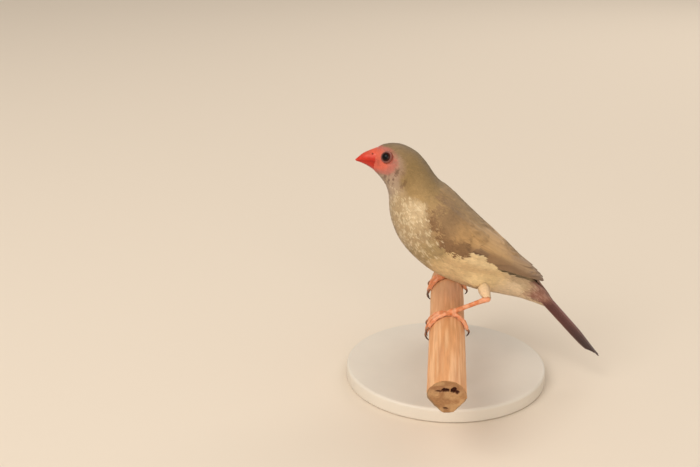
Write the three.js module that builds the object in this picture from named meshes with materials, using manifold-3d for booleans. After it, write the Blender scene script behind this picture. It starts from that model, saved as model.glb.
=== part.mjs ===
// A star finch standing on a cut length of perch, as a life-size display model.
// Millimetres, +Z up. The bird faces -X, its left side is towards -Y, and the perch runs along Y.
// The origin is the centre of the underside of the display base, straight below the bird.

import * as THREE from 'three';
import { mergeVertices } from 'three/addons/utils/BufferGeometryUtils.js';
import Module from 'manifold-3d';

const wasm = await Module();
wasm.setup();

// Driving dimensions of the stand and the perch
const BASE_RADIUS = 36;
const BASE_THICKNESS = 5;
const BASE_CHAMFER = 1;
const ROD_RADIUS = 2.5;
const ROD_SPACING = 40;
const PERCH_RADIUS = 6.15;
const PERCH_AXIS_HEIGHT = 25;
const PERCH_NEAR_END = -65;
const PERCH_FAR_END = 31;
const PERCH_END_LEAN = 10;
const PERCH_TOP = PERCH_AXIS_HEIGHT + PERCH_RADIUS;

// The gap that touching pieces keep, the thickness of a free feather, the shortest edge worth keeping,
// the distance at which vertices are one, and the step for slopes
const GAP = 0.3;
const VANE = 0.55;
const FINEST = 0.06;
const WELD = 1e-4;
const NUDGE = 1e-3;

// How fast a feather rises over what it lies on, how far its edges droop, and its outline: how wide
// its root is, how fast it widens, where its round end starts and how steeply that closes, and
// where along it a free tip starts to lift
const RISE_RATE = 1.6;
const CAMBER = 0.1;
const OUTLINE = { root: 0.5, widens: 2, roundFrom: 0.55, power: 4, blunt: 0.35 };
const LIFTS_FROM = 0.6;

// Feathers lie closer over the back: by what share, and from which turn to which turn in degrees
const BACK = { thins: 0.3, from: 40, to: 75 };

// The body as sections from the tip of the bill to the tail coverts. Each section runs from a point
// of the back to a point of the breast or belly, both as [x, z] in the plane of symmetry above the
// top of the perch, with its half width, where along it the body is widest, and how square it is.
const BODY = [
  { name: 'bill_tip', back: [-33.2, 49.5], front: [-33.1, 49.0], half: 0.25, widest: 0.5, square: 2.0 },
  { name: 'bill_front', back: [-30.6, 51.6], front: [-30.8, 48.3], half: 1.45, widest: 0.5, square: 2.0 },
  { name: 'bill_middle', back: [-28.0, 52.9], front: [-28.6, 47.2], half: 2.5, widest: 0.5, square: 2.0 },
  { name: 'bill_base', back: [-25.8, 53.8], front: [-26.8, 46.0], half: 3.4, widest: 0.5, square: 2.0 },
  { name: 'lores', back: [-23.4, 54.9], front: [-25.0, 44.3], half: 4.8, widest: 0.48, square: 2.1 },
  { name: 'eye', back: [-20.0, 55.3], front: [-23.4, 42.4], half: 6.2, widest: 0.46, square: 2.2 },
  { name: 'crown', back: [-16.4, 54.7], front: [-22.2, 40.2], half: 7.1, widest: 0.46, square: 2.2 },
  { name: 'nape', back: [-12.6, 52.6], front: [-21.5, 37.4], half: 7.8, widest: 0.47, square: 2.2 },
  { name: 'neck_top', back: [-9.3, 49.0], front: [-21.3, 34.0], half: 8.6, widest: 0.48, square: 2.2 },
  { name: 'neck_base', back: [-6.2, 44.6], front: [-20.9, 30.4], half: 9.8, widest: 0.5, square: 2.2 },
  { name: 'shoulder', back: [-2.9, 40.9], front: [-19.8, 26.6], half: 11.3, widest: 0.5, square: 2.2 },
  { name: 'breast', back: [1.1, 37.0], front: [-17.6, 22.0], half: 12.5, widest: 0.5, square: 2.25 },
  { name: 'mid_breast', back: [5.3, 32.7], front: [-14.3, 17.7], half: 13.1, widest: 0.5, square: 2.25 },
  { name: 'belly', back: [9.8, 28.4], front: [-10.1, 13.7], half: 13.1, widest: 0.5, square: 2.25 },
  { name: 'low_belly', back: [14.2, 24.3], front: [-4.9, 9.9], half: 12.3, widest: 0.5, square: 2.25 },
  { name: 'flank', back: [18.7, 20.1], front: [2.1, 6.6], half: 10.7, widest: 0.5, square: 2.2 },
  { name: 'vent', back: [23.0, 15.9], front: [9.6, 3.9], half: 8.7, widest: 0.5, square: 2.2 },
  { name: 'rump', back: [27.2, 11.8], front: [17.4, 2.2], half: 6.5, widest: 0.5, square: 2.1 },
  { name: 'covert_base', back: [31.2, 7.6], front: [24.4, 0.8], half: 4.8, widest: 0.5, square: 2.1 },
  { name: 'covert_middle', back: [34.5, 3.6], front: [30.0, -1.0], half: 3.6, widest: 0.5, square: 2.0 },
  { name: 'covert_tip', back: [37.4, -0.6], front: [34.9, -2.8], half: 2.3, widest: 0.5, square: 2.0 },
];
const STEPS_PER_SECTION = 2;
const SIDES = 28;

// Where the body is parted, counted in sections from the tip of the bill
const PART_BILL = 3.1;
const PART_HEAD = 7.2;
const PART_NECK = 9.4;
const PART_TORSO = 17.3;

// The line of the mouth, from outside the tip to behind the gape, and the nostril
const MOUTH_LINE = [[-36, 49.15], [-30, 49.6], [-27.2, 50.0], [-22, 48.6]];
const MOUTH_CUT_WIDTH = 20;
const NOSTRIL = { at: [-27.0, 1.95, 52.1], radius: 0.5 };

// The eye
const EYE = { at: [-21.8, 51.6], radius: 2.05, inset: 1.3 };
const LID = { radius: 2.05, thickness: 0.42, lift: -0.02, turn: -14, tilt: -8, sides: 6, steps: 20 };

// Leg: ankle, joint of the toes, both for the left side, as [x, distance from the middle, z]
const KNEE = [11.2, 8.0, 9.2];
const ANKLE = [13.5, 13.0, 4.6];
const TOE_JOINT = [1.4, 17.6, 1.25];
const THIGH_RADII = [3.0, 3.1, 2.6, 1.9, 1.35];
const THIGH_STOPS_SHORT = 0.1;
const TARSUS_RADIUS = 0.85;
const TARSUS_PROFILE = [1.05, 0.95, 0.92, 1];
const ANKLE_RADIUS = 1.15;
const TOE_JOINT_RADIUS = 1.2;

// Toes wrap round the perch: reach is the angle in degrees from the top of the perch, forward is
// positive, and sweep is how far the claw tip lies along the perch from the joint
const TOES = [
  { name: 'inner', reach: 88, sweep: 4.6, radius: 0.72 },
  { name: 'middle', reach: 122, sweep: 0.6, radius: 0.8 },
  { name: 'outer', reach: 92, sweep: -4.4, radius: 0.72 },
  { name: 'hind', reach: -98, sweep: 1.2, radius: 0.82 },
];
const TOE_PROFILE = [1.15, 1, 0.95, 0.95, 0.9, 0.85, 0.5, 0.15];
const TOE_LIFT = 0.1;
const TOE_TAPER = 0.25;
const TOE_BENDS = 8;

// Feathers on the body. Roots and tips are [section, turn in degrees], heights are over the body in
// mm, bow bends a feather towards the belly, rise lifts each feather of a tier over the last one,
// tipUp lifts its last third off the body, inner is the height of the underside, and thick is how
// thick the feather is where it lies free
const LONG_STOPS = [0, 0.2, 0.4, 0.6, 0.8, 0.94, 1];
const SHORT_STOPS = [0, 0.45, 0.82, 1];
const WING_CORE = {
  root: [9.8, 29], tip: [16.4, 70], bow: 10, half: 9.6, nose: 0.3, narrowest: 0.12, taper: 0.62,
  height: 0.9, edge: 0.35, stops: [0, 0.05, 0.15, 0.3, 0.45, 0.6, 0.8, 1], columns: 6,
};
const WING_TIERS = [
  { name: 'primaries', count: 5, rootLow: [12.8, 14], rootHigh: [13.2, 34], tipLow: [17.4, 58],
    tipHigh: [17.2, 84], tipCurve: 1, bow: 3, half: 2.0, rootHeight: 0.7, tipHeight: 1.15, rise: 0.2,
    tipUp: 1.2, thick: 0.6, stops: LONG_STOPS },
  { name: 'secondaries', count: 4, rootLow: [12.4, 24], rootHigh: [12.4, 48], tipLow: [15.9, 48],
    tipHigh: [16.6, 76], bow: 5, half: 2.3, rootHeight: 0.7, tipHeight: 1.6, rise: 0.16, inner: 0.6,
    stops: LONG_STOPS },
  { name: 'tertials', count: 3, rootLow: [12.2, 50], rootHigh: [12.0, 64], tipLow: [15.9, 68],
    tipHigh: [14.9, 80], bow: 2, half: 2.6, rootHeight: 0.7, tipHeight: 1.9, rise: 0.16, inner: 0.6,
    stops: LONG_STOPS },
  { name: 'greater coverts', count: 5, rootLow: [11.2, 8], rootHigh: [11.2, 54], tipLow: [13.4, 12],
    tipHigh: [13.4, 62], bow: 2, half: 1.9, rootHeight: 0.6, tipHeight: 1.8, rise: 0.06, inner: 0.5,
    stops: SHORT_STOPS },
  { name: 'median coverts', count: 4, rootLow: [10.3, 16], rootHigh: [10.4, 56], tipLow: [12.2, 10],
    tipHigh: [12.2, 60], bow: 0, half: 2.1, rootHeight: 0.5, tipHeight: 2.1, rise: 0.1, inner: 0.4,
    stops: SHORT_STOPS },
  { name: 'scapulars', count: 2, rootLow: [10.2, 58], rootHigh: [10.4, 68], tipLow: [13.0, 63],
    tipHigh: [13.2, 73], bow: 0, half: 2.2, rootHeight: 0.5, tipHeight: 1.6, rise: 0.1, inner: 0.4,
    stops: SHORT_STOPS },
];
const COVERT_TIERS = [
  { name: 'upper tail coverts', count: 4, rootLow: [17.9, 25], rootHigh: [17.9, 155], tipLow: [19.6, 40],
    tipHigh: [19.6, 140], tipCurve: 0.35, bow: 0, half: 1.5, rootHeight: 0.1, tipHeight: 1.1, inner: -0.4,
    stops: SHORT_STOPS },
  { name: 'under tail coverts', count: 3, rootLow: [17.9, -35], rootHigh: [17.9, -145], tipLow: [19.5, -50],
    tipHigh: [19.5, -130], tipCurve: 0.35, bow: 0, half: 1.6, rootHeight: 0.1, tipHeight: 0.6, inner: -0.4,
    stops: SHORT_STOPS },
];

// The tail: root and tip are [x, z] of its middle line, six pairs of feathers that hang like a roof
const TAIL = {
  root: [29.6, 7.7], tip: [55.2, -20.6], pairs: 6, length: 38.1, outerShorter: 5.6, middle: 0.7,
  shortening: 0.6, spreadRoot: 0.8, spreadTip: 1.7, drop: 2.3, rises: 0.25, roll: 16, leastRoll: 0.4,
  half: 1.8, camber: 0.18, blunt: 0.45, middleBlunt: 0.2, middleEndFrom: 0.8, middleEndWidth: 0.8,
};
const TAIL_STOPS = [0, 0.4, 0.75, 0.93, 1];

// Catmull-Rom value of a list at a fractional place
function along(list, place) {
  const last = list.length - 1;
  const t = Math.min(Math.max(place, 0), last);
  const i = Math.min(Math.floor(t), last - 1);
  const f = t - i;
  const p0 = list[Math.max(i - 1, 0)];
  const p1 = list[i];
  const p2 = list[i + 1];
  const p3 = list[Math.min(i + 2, last)];
  const linear = (p2 - p0) * f;
  const square = (2 * p0 - 5 * p1 + 4 * p2 - p3) * f * f;
  const cubic = (3 * p1 - p0 - 3 * p2 + p3) * f * f * f;
  return 0.5 * (2 * p1 + linear + square + cubic);
}

const BACK_X = BODY.map((section) => section.back[0]);
const BACK_Z = BODY.map((section) => section.back[1]);
const FRONT_X = BODY.map((section) => section.front[0]);
const FRONT_Z = BODY.map((section) => section.front[1]);
const HALF = BODY.map((section) => section.half);
const WIDEST = BODY.map((section) => section.widest);
const SQUARE = BODY.map((section) => section.square);

// A point of the body's surface raised by lift: place counts the sections, and turn is the angle in
// radians, 0 at the widest point of the given side, a right angle on the back and minus that below
function skin(place, turn, lift = 0, side = 1) {
  const back = new THREE.Vector3(along(BACK_X, place), 0, along(BACK_Z, place));
  const front = new THREE.Vector3(along(FRONT_X, place), 0, along(FRONT_Z, place));
  const centre = back.clone().lerp(front, along(WIDEST, place));
  const power = 2 / along(SQUARE, place);
  const across = Math.cos(turn);
  const up = Math.sin(turn);
  const arm = (up > 0 ? back : front).sub(centre);
  const reach = (arm.length() + lift) * Math.abs(up) ** power;
  const width = (along(HALF, place) + lift) * Math.sign(across) * Math.abs(across) ** power;
  const point = centre.addScaledVector(arm.normalize(), reach);
  point.y = -side * width;
  return point;
}

// Solids from vertices and triangles, turned the right way out
function solidFrom(points, triangles) {
  const geometry = new THREE.BufferGeometry().setFromPoints(points);
  geometry.setIndex(triangles);
  return solid(geometry);
}

function solid(source) {
  let geometry = source.clone();
  geometry.deleteAttribute('normal');
  geometry.deleteAttribute('uv');
  geometry = mergeVertices(geometry, WELD);
  const vertProperties = new Float32Array(geometry.attributes.position.array);
  const triVerts = Uint32Array.from(geometry.index.array);
  if (signedVolume(vertProperties, triVerts) < 0) triVerts.reverse();
  return new wasm.Manifold(new wasm.Mesh({ numProp: 3, vertProperties, triVerts }));
}

function signedVolume(positions, triangles) {
  const [a, b, c] = [new THREE.Vector3(), new THREE.Vector3(), new THREE.Vector3()];
  let sum = 0;
  for (let i = 0; i < triangles.length; i += 3) {
    a.fromArray(positions, 3 * triangles[i]);
    b.fromArray(positions, 3 * triangles[i + 1]);
    c.fromArray(positions, 3 * triangles[i + 2]);
    sum += a.dot(b.cross(c));
  }
  return sum;
}

// A closed form through rings of equal size, each end closed by a fan
function loft(rings) {
  const size = rings[0].length;
  const points = rings.flat();
  const triangles = [];
  for (let i = 0; i + 1 < rings.length; i += 1) {
    for (let j = 0; j < size; j += 1) {
      const a = i * size + j;
      const b = i * size + ((j + 1) % size);
      triangles.push(a, b, b + size, a, b + size, a + size);
    }
  }
  const middle = (ring) => ring.reduce((sum, p) => sum.add(p), new THREE.Vector3()).divideScalar(size);
  const first = points.push(middle(rings[0])) - 1;
  const last = points.push(middle(rings[rings.length - 1])) - 1;
  const start = (rings.length - 1) * size;
  for (let j = 0; j < size; j += 1) {
    const next = (j + 1) % size;
    triangles.push(first, next, j, last, start + j, start + next);
  }
  return solidFrom(points, triangles);
}

function bodyForm(lift = 0) {
  const rings = [];
  const count = (BODY.length - 1) * STEPS_PER_SECTION;
  for (let i = 0; i <= count; i += 1) {
    const place = i / STEPS_PER_SECTION;
    rings.push(Array.from({ length: SIDES }, (_, j) => skin(place, (2 * Math.PI * j) / SIDES, lift)));
  }
  return loft(rings);
}

// The half of a solid that lies behind (towards the tail) or before a section's plane
function cutAt(form, place, keepBehind) {
  const back = skin(place, Math.PI / 2);
  const front = skin(place, -Math.PI / 2);
  const down = front.clone().sub(back).normalize();
  const normal = new THREE.Vector3(0, -1, 0).cross(down).normalize();
  if (normal.x < 0) normal.negate();
  const offset = normal.dot(back);
  if (keepBehind) return form.trimByPlane(normal.toArray(), offset + GAP / 2);
  return form.trimByPlane(normal.negate().toArray(), -offset + GAP / 2);
}

function between(form, from, to) {
  return cutAt(cutAt(form, from, true), to, false);
}

// A round rod of changing thickness through a list of points
function limb(points, radii, sides = 10, steps = 12) {
  const curve = new THREE.CatmullRomCurve3(points);
  const frames = curve.computeFrenetFrames(steps, false);
  const rings = [];
  for (let i = 0; i <= steps; i += 1) {
    const centre = curve.getPoint(i / steps);
    const radius = along(radii, (i / steps) * (radii.length - 1));
    rings.push(Array.from({ length: sides }, (_, j) => {
      const angle = (2 * Math.PI * j) / sides;
      return centre.clone()
        .addScaledVector(frames.normals[i], radius * Math.cos(angle))
        .addScaledVector(frames.binormals[i], radius * Math.sin(angle));
    }));
  }
  return loft(rings);
}

// What is left of a feather's height at a turn in radians
function overBack(turn) {
  const [from, to] = [BACK.from, BACK.to].map((degrees) => Math.sin(THREE.MathUtils.degToRad(degrees)));
  return 1 - BACK.thins * THREE.MathUtils.smoothstep(Math.sin(turn), from, to);
}

// A blade that lies on the body. path gives [place, turn in degrees], width the half width in mm,
// and inner and outer the heights of its faces over the body, all from 0 at the root to 1 at the tip
function blade({ path, width, inner, outer, side, stops, columns = 2 }) {
  const points = [];
  for (const s of stops) {
    const [wanted, turn] = path(s);
    const place = Math.min(wanted, BODY.length - 1 - NUDGE);
    const t = THREE.MathUtils.degToRad(turn);
    const here = skin(place, t, 0, side);
    const alongBody = skin(place + NUDGE, t, 0, side).sub(here).divideScalar(NUDGE);
    const roundBody = skin(place, t + NUDGE, 0, side).sub(here).divideScalar(NUDGE);
    const [place2, turn2] = path(Math.min(s + NUDGE, 1));
    const [place1, turn1] = path(Math.min(s + NUDGE, 1) - NUDGE);
    const stepPlace = (place2 - place1) / NUDGE;
    const stepTurn = THREE.MathUtils.degToRad(turn2 - turn1) / NUDGE;
    const ahead = alongBody.clone().multiplyScalar(stepPlace).addScaledVector(roundBody, stepTurn);
    const across = alongBody.clone().cross(roundBody).cross(ahead).normalize();
    const e = alongBody.lengthSq();
    const f = alongBody.dot(roundBody);
    const g = roundBody.lengthSq();
    const scale = 1 / (e * g - f * f);
    const perPlace = (g * across.dot(alongBody) - f * across.dot(roundBody)) * scale;
    const perTurn = (e * across.dot(roundBody) - f * across.dot(alongBody)) * scale;
    for (const height of [outer, inner]) {
      for (let j = 0; j <= columns; j += 1) {
        const u = (2 * j) / columns - 1;
        const w = u * width(s);
        const there = t + perTurn * w;
        points.push(skin(place + perPlace * w, there, height(s, u) * overBack(there), side));
      }
    }
  }
  return slab(points, stops.length, columns + 1);
}

// A closed slab from rows of points, each row the outer face and then the inner one, with both
// faces split into triangles along the same diagonals
function slab(points, rows, columns) {
  const triangles = [];
  const quad = (a, b, c, d) => triangles.push(a, b, c, a, c, d);
  const row = 2 * columns;
  for (let i = 0; i + 1 < rows; i += 1) {
    const a = i * row;
    const b = a + row;
    for (let j = 0; j + 1 < columns; j += 1) {
      quad(a + j, a + j + 1, b + j + 1, b + j);
      const c = a + columns + j;
      const d = b + columns + j;
      triangles.push(c, d + 1, c + 1, c, d, d + 1);
    }
    quad(a + columns, a, b, b + columns);
    const last = columns - 1;
    quad(a + last, a + columns + last, b + columns + last, b + last);
  }
  for (let j = 0; j + 1 < columns; j += 1) {
    quad(j + 1, j, columns + j, columns + j + 1);
    const end = (rows - 1) * row;
    quad(end + j, end + j + 1, end + columns + j + 1, end + columns + j);
  }
  return solidFrom(points, triangles);
}

function join(forms) {
  return forms.slice(1).reduce((sum, form) => sum.add(form), forms[0]);
}

// The largest closed surface of a form, once its shortest edges are gone
function largest(form) {
  const pieces = form.simplify(FINEST).decompose();
  return pieces.reduce((best, piece) => (piece.volume() > best.volume() ? piece : best));
}

// Stand and perch
function baseForm() {
  const r = BASE_RADIUS;
  const h = BASE_THICKNESS;
  const c = BASE_CHAMFER;
  const profile = [[0, 0], [r - c / 2, 0], [r, c / 2], [r, h - c], [r - c, h], [0, h]];
  const disc = new THREE.LatheGeometry(profile.map(([x, y]) => new THREE.Vector2(x, y)), 48);
  return solid(disc.rotateX(Math.PI / 2));
}

function perchForm(lift = 0) {
  const sides = 32;
  const steps = 4;
  const lean = Math.tan(THREE.MathUtils.degToRad(PERCH_END_LEAN));
  const rings = [];
  for (let i = 0; i <= steps; i += 1) {
    const share = i / steps;
    rings.push(Array.from({ length: sides }, (_, j) => {
      const angle = (2 * Math.PI * j) / sides;
      const radius = PERCH_RADIUS + lift;
      const z = radius * Math.sin(angle);
      const nearEnd = PERCH_NEAR_END - lean * z - lift;
      const y = THREE.MathUtils.lerp(nearEnd, PERCH_FAR_END + lift, share);
      return new THREE.Vector3(radius * Math.cos(angle), y, z - PERCH_RADIUS);
    }));
  }
  return loft(rings);
}

function rodForm(y) {
  const bottom = BASE_THICKNESS + GAP - PERCH_TOP;
  const top = -PERCH_RADIUS;
  const rod = new THREE.CylinderGeometry(ROD_RADIUS, ROD_RADIUS, top - bottom, 24);
  rod.rotateX(Math.PI / 2).translate(0, y, (top + bottom) / 2);
  return solid(rod).subtract(perchForm(GAP));
}

// Head, bill and eyes
function eyeCentre(side) {
  const lateral = headHalfWidthAt(EYE.at) - EYE.inset;
  return new THREE.Vector3(EYE.at[0], -side * lateral, EYE.at[1]);
}

// How far out the side of the head is at a point [x, z] of the plane of symmetry
function headHalfWidthAt([x, z]) {
  let best = { distance: Infinity, width: 0 };
  for (let place = PART_BILL; place < PART_HEAD; place += 0.05) {
    for (let turn = -80; turn <= 80; turn += 2) {
      const point = skin(place, THREE.MathUtils.degToRad(turn));
      const distance = Math.hypot(point.x - x, point.z - z);
      if (distance < best.distance) best = { distance, width: -point.y };
    }
  }
  return best.width;
}

function ball(centre, radius, width = 14, height = 8) {
  return solid(new THREE.SphereGeometry(radius, width, height).translate(...centre.toArray()));
}

function lidForm(side) {
  const ring = new THREE.TorusGeometry(LID.radius, LID.thickness, LID.sides, LID.steps);
  const centre = eyeCentre(side);
  ring.rotateX(Math.PI / 2);
  ring.rotateZ(-side * THREE.MathUtils.degToRad(LID.turn));
  ring.rotateX(side * THREE.MathUtils.degToRad(LID.tilt));
  ring.translate(centre.x, centre.y - side * (EYE.inset + LID.lift), centre.z);
  return solid(ring);
}

function mouthCut() {
  const top = MOUTH_LINE.map(([x, z]) => new THREE.Vector2(x, z + GAP / 2));
  const bottom = MOUTH_LINE.map(([x, z]) => new THREE.Vector2(x, z - GAP / 2)).reverse();
  const sheet = new THREE.ExtrudeGeometry(new THREE.Shape([...top, ...bottom]), {
    depth: MOUTH_CUT_WIDTH,
    bevelEnabled: false,
  });
  return solid(sheet.translate(0, 0, -MOUTH_CUT_WIDTH / 2).rotateX(Math.PI / 2));
}

function billForms(body) {
  const bill = cutAt(body, PART_BILL, false).subtract(mouthCut());
  const [x, y, z] = NOSTRIL.at;
  const pits = [1, -1].map((side) => ball(new THREE.Vector3(x, side * y, z), NOSTRIL.radius, 8, 6));
  const halves = bill.decompose().sort((a, b) => b.boundingBox().max[2] - a.boundingBox().max[2]);
  return { upper: largest(halves[0].subtract(join(pits))), lower: halves[1] };
}

function headForm(body) {
  const sockets = [1, -1].map((side) => ball(eyeCentre(side), EYE.radius + GAP));
  const head = between(body, PART_BILL, PART_HEAD);
  return largest(join([head, lidForm(1), lidForm(-1)]).subtract(join(sockets)));
}

// Legs and feet
function at([x, lateral, z], side) {
  return new THREE.Vector3(x, -side * lateral, z);
}

function thighForm(side, lift = 0) {
  const knee = at(KNEE, side);
  const ankle = at(ANKLE, side);
  const points = [knee, knee.clone().lerp(ankle, 0.5), ankle.clone().lerp(knee, THIGH_STOPS_SHORT)];
  return limb(points, THIGH_RADII.map((radius) => radius + lift), 14, 8);
}

function legForm(side, lift = 0) {
  const ankle = at(ANKLE, side);
  const joint = at(TOE_JOINT, side);
  const radii = TARSUS_PROFILE.map((share) => share * TARSUS_RADIUS + lift);
  const shank = limb([ankle, ankle.clone().lerp(joint, 0.5), joint], radii, 10, 5);
  return join([shank, ball(ankle, ANKLE_RADIUS + lift, 10, 8)]);
}

// The toes start on the top of the perch and wrap round it, each ending in a claw
function toeForm(toe, side) {
  const joint = at(TOE_JOINT, side);
  const start = Math.atan2(-joint.x, joint.z + PERCH_RADIUS);
  const reach = THREE.MathUtils.degToRad(toe.reach);
  const points = [];
  for (let i = 0; i <= TOE_BENDS; i += 1) {
    const share = i / TOE_BENDS;
    const thickness = toe.radius * (1 - TOE_TAPER * share);
    const arc = PERCH_RADIUS + GAP + thickness + TOE_LIFT;
    const angle = THREE.MathUtils.lerp(start, reach, share);
    const y = joint.y - side * toe.sweep * share;
    points.push(new THREE.Vector3(-arc * Math.sin(angle), y, arc * Math.cos(angle) - PERCH_RADIUS));
  }
  points[0].z = Math.max(points[0].z, joint.z);
  return limb(points, TOE_PROFILE.map((share) => share * toe.radius), 6, 10);
}

function footForm(side) {
  const joint = ball(at(TOE_JOINT, side), TOE_JOINT_RADIUS, 10, 8);
  const foot = join([joint, ...TOES.map((toe) => toeForm(toe, side))]).subtract(perchForm(GAP));
  return largest(foot);
}

// The shank ends a gap short of the ball of the foot, and starts a gap below the thigh's feathers
function shankBetween(side) {
  const cutters = join([
    ball(at(TOE_JOINT, side), TOE_JOINT_RADIUS + GAP, 10, 8),
    ...TOES.map((toe) => toeForm({ ...toe, radius: toe.radius + GAP }, side)),
    thighForm(side, GAP),
    perchForm(GAP),
  ]);
  return largest(legForm(side).subtract(cutters));
}

// Wings
function towards(root, tip, bow = 0) {
  return (s) => [
    THREE.MathUtils.lerp(root[0], tip[0], s),
    THREE.MathUtils.lerp(root[1], tip[1], s) - bow * 4 * s * (1 - s),
  ];
}

// Half width of a feather from root to tip: a narrow root, a broad middle and a round end
function featherWidth(half, blunt = OUTLINE.blunt) {
  return (s) => {
    const ending = Math.max((s - OUTLINE.roundFrom) / (1 - OUTLINE.roundFrom), 0);
    const round = Math.sqrt(Math.max(1 - ending ** OUTLINE.power, 0));
    return half * Math.min(OUTLINE.root + OUTLINE.widens * s, 1) * round + blunt * s;
  };
}

function feather({ root, tip, bow, half, rootHeight, tipHeight, tipUp = 0, inner, thick, side, stops }) {
  const height = (s) => THREE.MathUtils.lerp(rootHeight, tipHeight, Math.min(RISE_RATE * s, 1))
    + tipUp * (Math.max(s - LIFTS_FROM, 0) / (1 - LIFTS_FROM)) ** 2;
  return blade({
    path: towards(root, tip, bow),
    width: featherWidth(half),
    outer: (s, u) => height(s) - CAMBER * u * u,
    inner: (s) => (thick ? height(s) - thick : inner),
    side,
    stops,
  });
}

// One tier of a wing: count feathers whose roots and tips are spread between a low and a high one
function tier(rows, side) {
  const { count, rootLow, rootHigh, tipLow, tipHigh, rise = 0, tipCurve = 0 } = rows;
  return Array.from({ length: count }, (_, k) => {
    const share = count > 1 ? k / (count - 1) : 0;
    const mix = (low, high) => low.map((value, i) => THREE.MathUtils.lerp(value, high[i], share));
    const tip = mix(tipLow, tipHigh);
    tip[0] += tipCurve * 4 * share * (1 - share);
    const lift = rise * k;
    return feather({
      ...rows,
      root: mix(rootLow, rootHigh),
      tip,
      rootHeight: rows.rootHeight + lift * 0.5,
      tipHeight: rows.tipHeight + lift,
      side,
    });
  });
}

// The smooth shoulder and forearm of the folded wing, which the tiers are rooted in
function wingCore(side) {
  const { root, tip, bow, half, nose, narrowest, taper, height, edge, stops, columns } = WING_CORE;
  const round = (s) => Math.sqrt(1 - (1 - Math.min(s / nose, 1)) ** 2);
  return blade({
    path: towards(root, tip, bow),
    width: (s) => half * Math.max(round(s), narrowest) * (1 - taper * s ** 2),
    outer: (s, u) => height - edge * u ** 4,
    inner: () => GAP,
    side,
    stops,
    columns,
  });
}

function wingForm(side, cutters) {
  const feathers = WING_TIERS.flatMap((rows) => tier(rows, side));
  return largest(join([wingCore(side), ...feathers]).subtract(cutters).trimByPlane([0, -side, 0], GAP));
}

// Tail
function tailFeather(k, side) {
  const share = k / (TAIL.pairs - 1);
  const length = TAIL.length - TAIL.outerShorter * share ** TAIL.shortening;
  const ahead = new THREE.Vector3(TAIL.tip[0] - TAIL.root[0], 0, TAIL.tip[1] - TAIL.root[1]).normalize();
  const up = new THREE.Vector3(-ahead.z, 0, ahead.x);
  const out = new THREE.Vector3(0, -side, 0);
  const roll = THREE.MathUtils.degToRad(TAIL.roll * THREE.MathUtils.lerp(TAIL.leastRoll, 1, share));
  const across = out.clone().multiplyScalar(Math.cos(roll)).addScaledVector(up, -Math.sin(roll));
  const over = up.clone().multiplyScalar(Math.cos(roll)).addScaledVector(out, Math.sin(roll));
  const points = [];
  for (const s of TAIL_STOPS) {
    const spread = TAIL.spreadRoot + (TAIL.spreadTip - TAIL.spreadRoot) * s;
    const sideways = TAIL.middle + spread * share;
    const drop = TAIL.drop * share * (1 - TAIL.rises * s);
    const centre = new THREE.Vector3(TAIL.root[0], 0, TAIL.root[1])
      .addScaledVector(ahead, length * s)
      .addScaledVector(out, sideways)
      .addScaledVector(up, -drop);
    const narrow = k === 0 && s > TAIL.middleEndFrom ? TAIL.middleEndWidth : 1;
    const half = featherWidth(TAIL.half, k === 0 ? TAIL.middleBlunt : TAIL.blunt)(s) * narrow;
    for (const height of [VANE / 2, -VANE / 2]) {
      for (const u of [-1, 0, 1]) {
        points.push(centre.clone().addScaledVector(across, half * u)
          .addScaledVector(over, height - TAIL.camber * u * u));
      }
    }
  }
  return slab(points, TAIL_STOPS.length, 3);
}

function tailForm(body) {
  const core = cutAt(body, PART_TORSO, true);
  const rectrices = Array.from({ length: TAIL.pairs }, (_, k) => [tailFeather(k, 1), tailFeather(k, -1)]);
  const coverts = COVERT_TIERS.flatMap((rows) => tier(rows, 1));
  const feathers = join([...rectrices.flat(), ...coverts]);
  return largest(join([core, cutAt(feathers, PART_TORSO, true)]));
}

// Scene
const materials = {
  bill: { color: '#d8402a', roughness: 0.35 },
  eye: { color: '#1c120e', roughness: 0.08 },
  head: { color: '#b0653f', roughness: 0.9 },
  plumage: { color: '#9d8a66', roughness: 0.95 },
  wing: { color: '#a3845f', roughness: 0.85 },
  tail: { color: '#74402f', roughness: 0.85 },
  thigh: { color: '#dccdb6', roughness: 0.95 },
  leg: { color: '#e0804f', roughness: 0.55 },
  perch: { color: '#d19a62', roughness: 0.7 },
  base: { color: '#d9d2c6', roughness: 0.5 },
  rod: { color: '#8d8f92', roughness: 0.3, metalness: 1 },
};

function toMesh(name, form, look) {
  const { vertProperties, triVerts } = form.getMesh();
  const geometry = new THREE.BufferGeometry();
  geometry.setAttribute('position', new THREE.BufferAttribute(vertProperties, 3));
  geometry.setIndex(new THREE.BufferAttribute(triVerts, 1));
  geometry.computeVertexNormals();
  const mesh = new THREE.Mesh(geometry, new THREE.MeshStandardMaterial(materials[look]));
  mesh.name = name;
  return mesh;
}

const body = bodyForm();
const grownBody = bodyForm(GAP);
const bill = billForms(body);
const bird = new THREE.Group();
bird.position.z = PERCH_TOP;
bird.add(
  toMesh('bill_upper', bill.upper, 'bill'),
  toMesh('bill_lower', bill.lower, 'bill'),
  toMesh('head', headForm(body), 'head'),
  toMesh('neck', between(body, PART_HEAD, PART_NECK), 'plumage'),
  toMesh('torso', between(body, PART_NECK, PART_TORSO), 'plumage'),
  toMesh('tail', tailForm(body), 'tail'),
);
for (const [name, side] of [['left', 1], ['right', -1]]) {
  bird.add(
    toMesh(`eye_${name}`, ball(eyeCentre(side), EYE.radius), 'eye'),
    toMesh(`wing_${name}`, wingForm(side, grownBody), 'wing'),
    toMesh(`thigh_${name}`, largest(thighForm(side).subtract(grownBody)), 'thigh'),
    toMesh(`leg_${name}`, shankBetween(side), 'leg'),
    toMesh(`foot_${name}`, footForm(side), 'leg'),
  );
}
bird.add(toMesh('perch', perchForm(), 'perch'));

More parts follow.
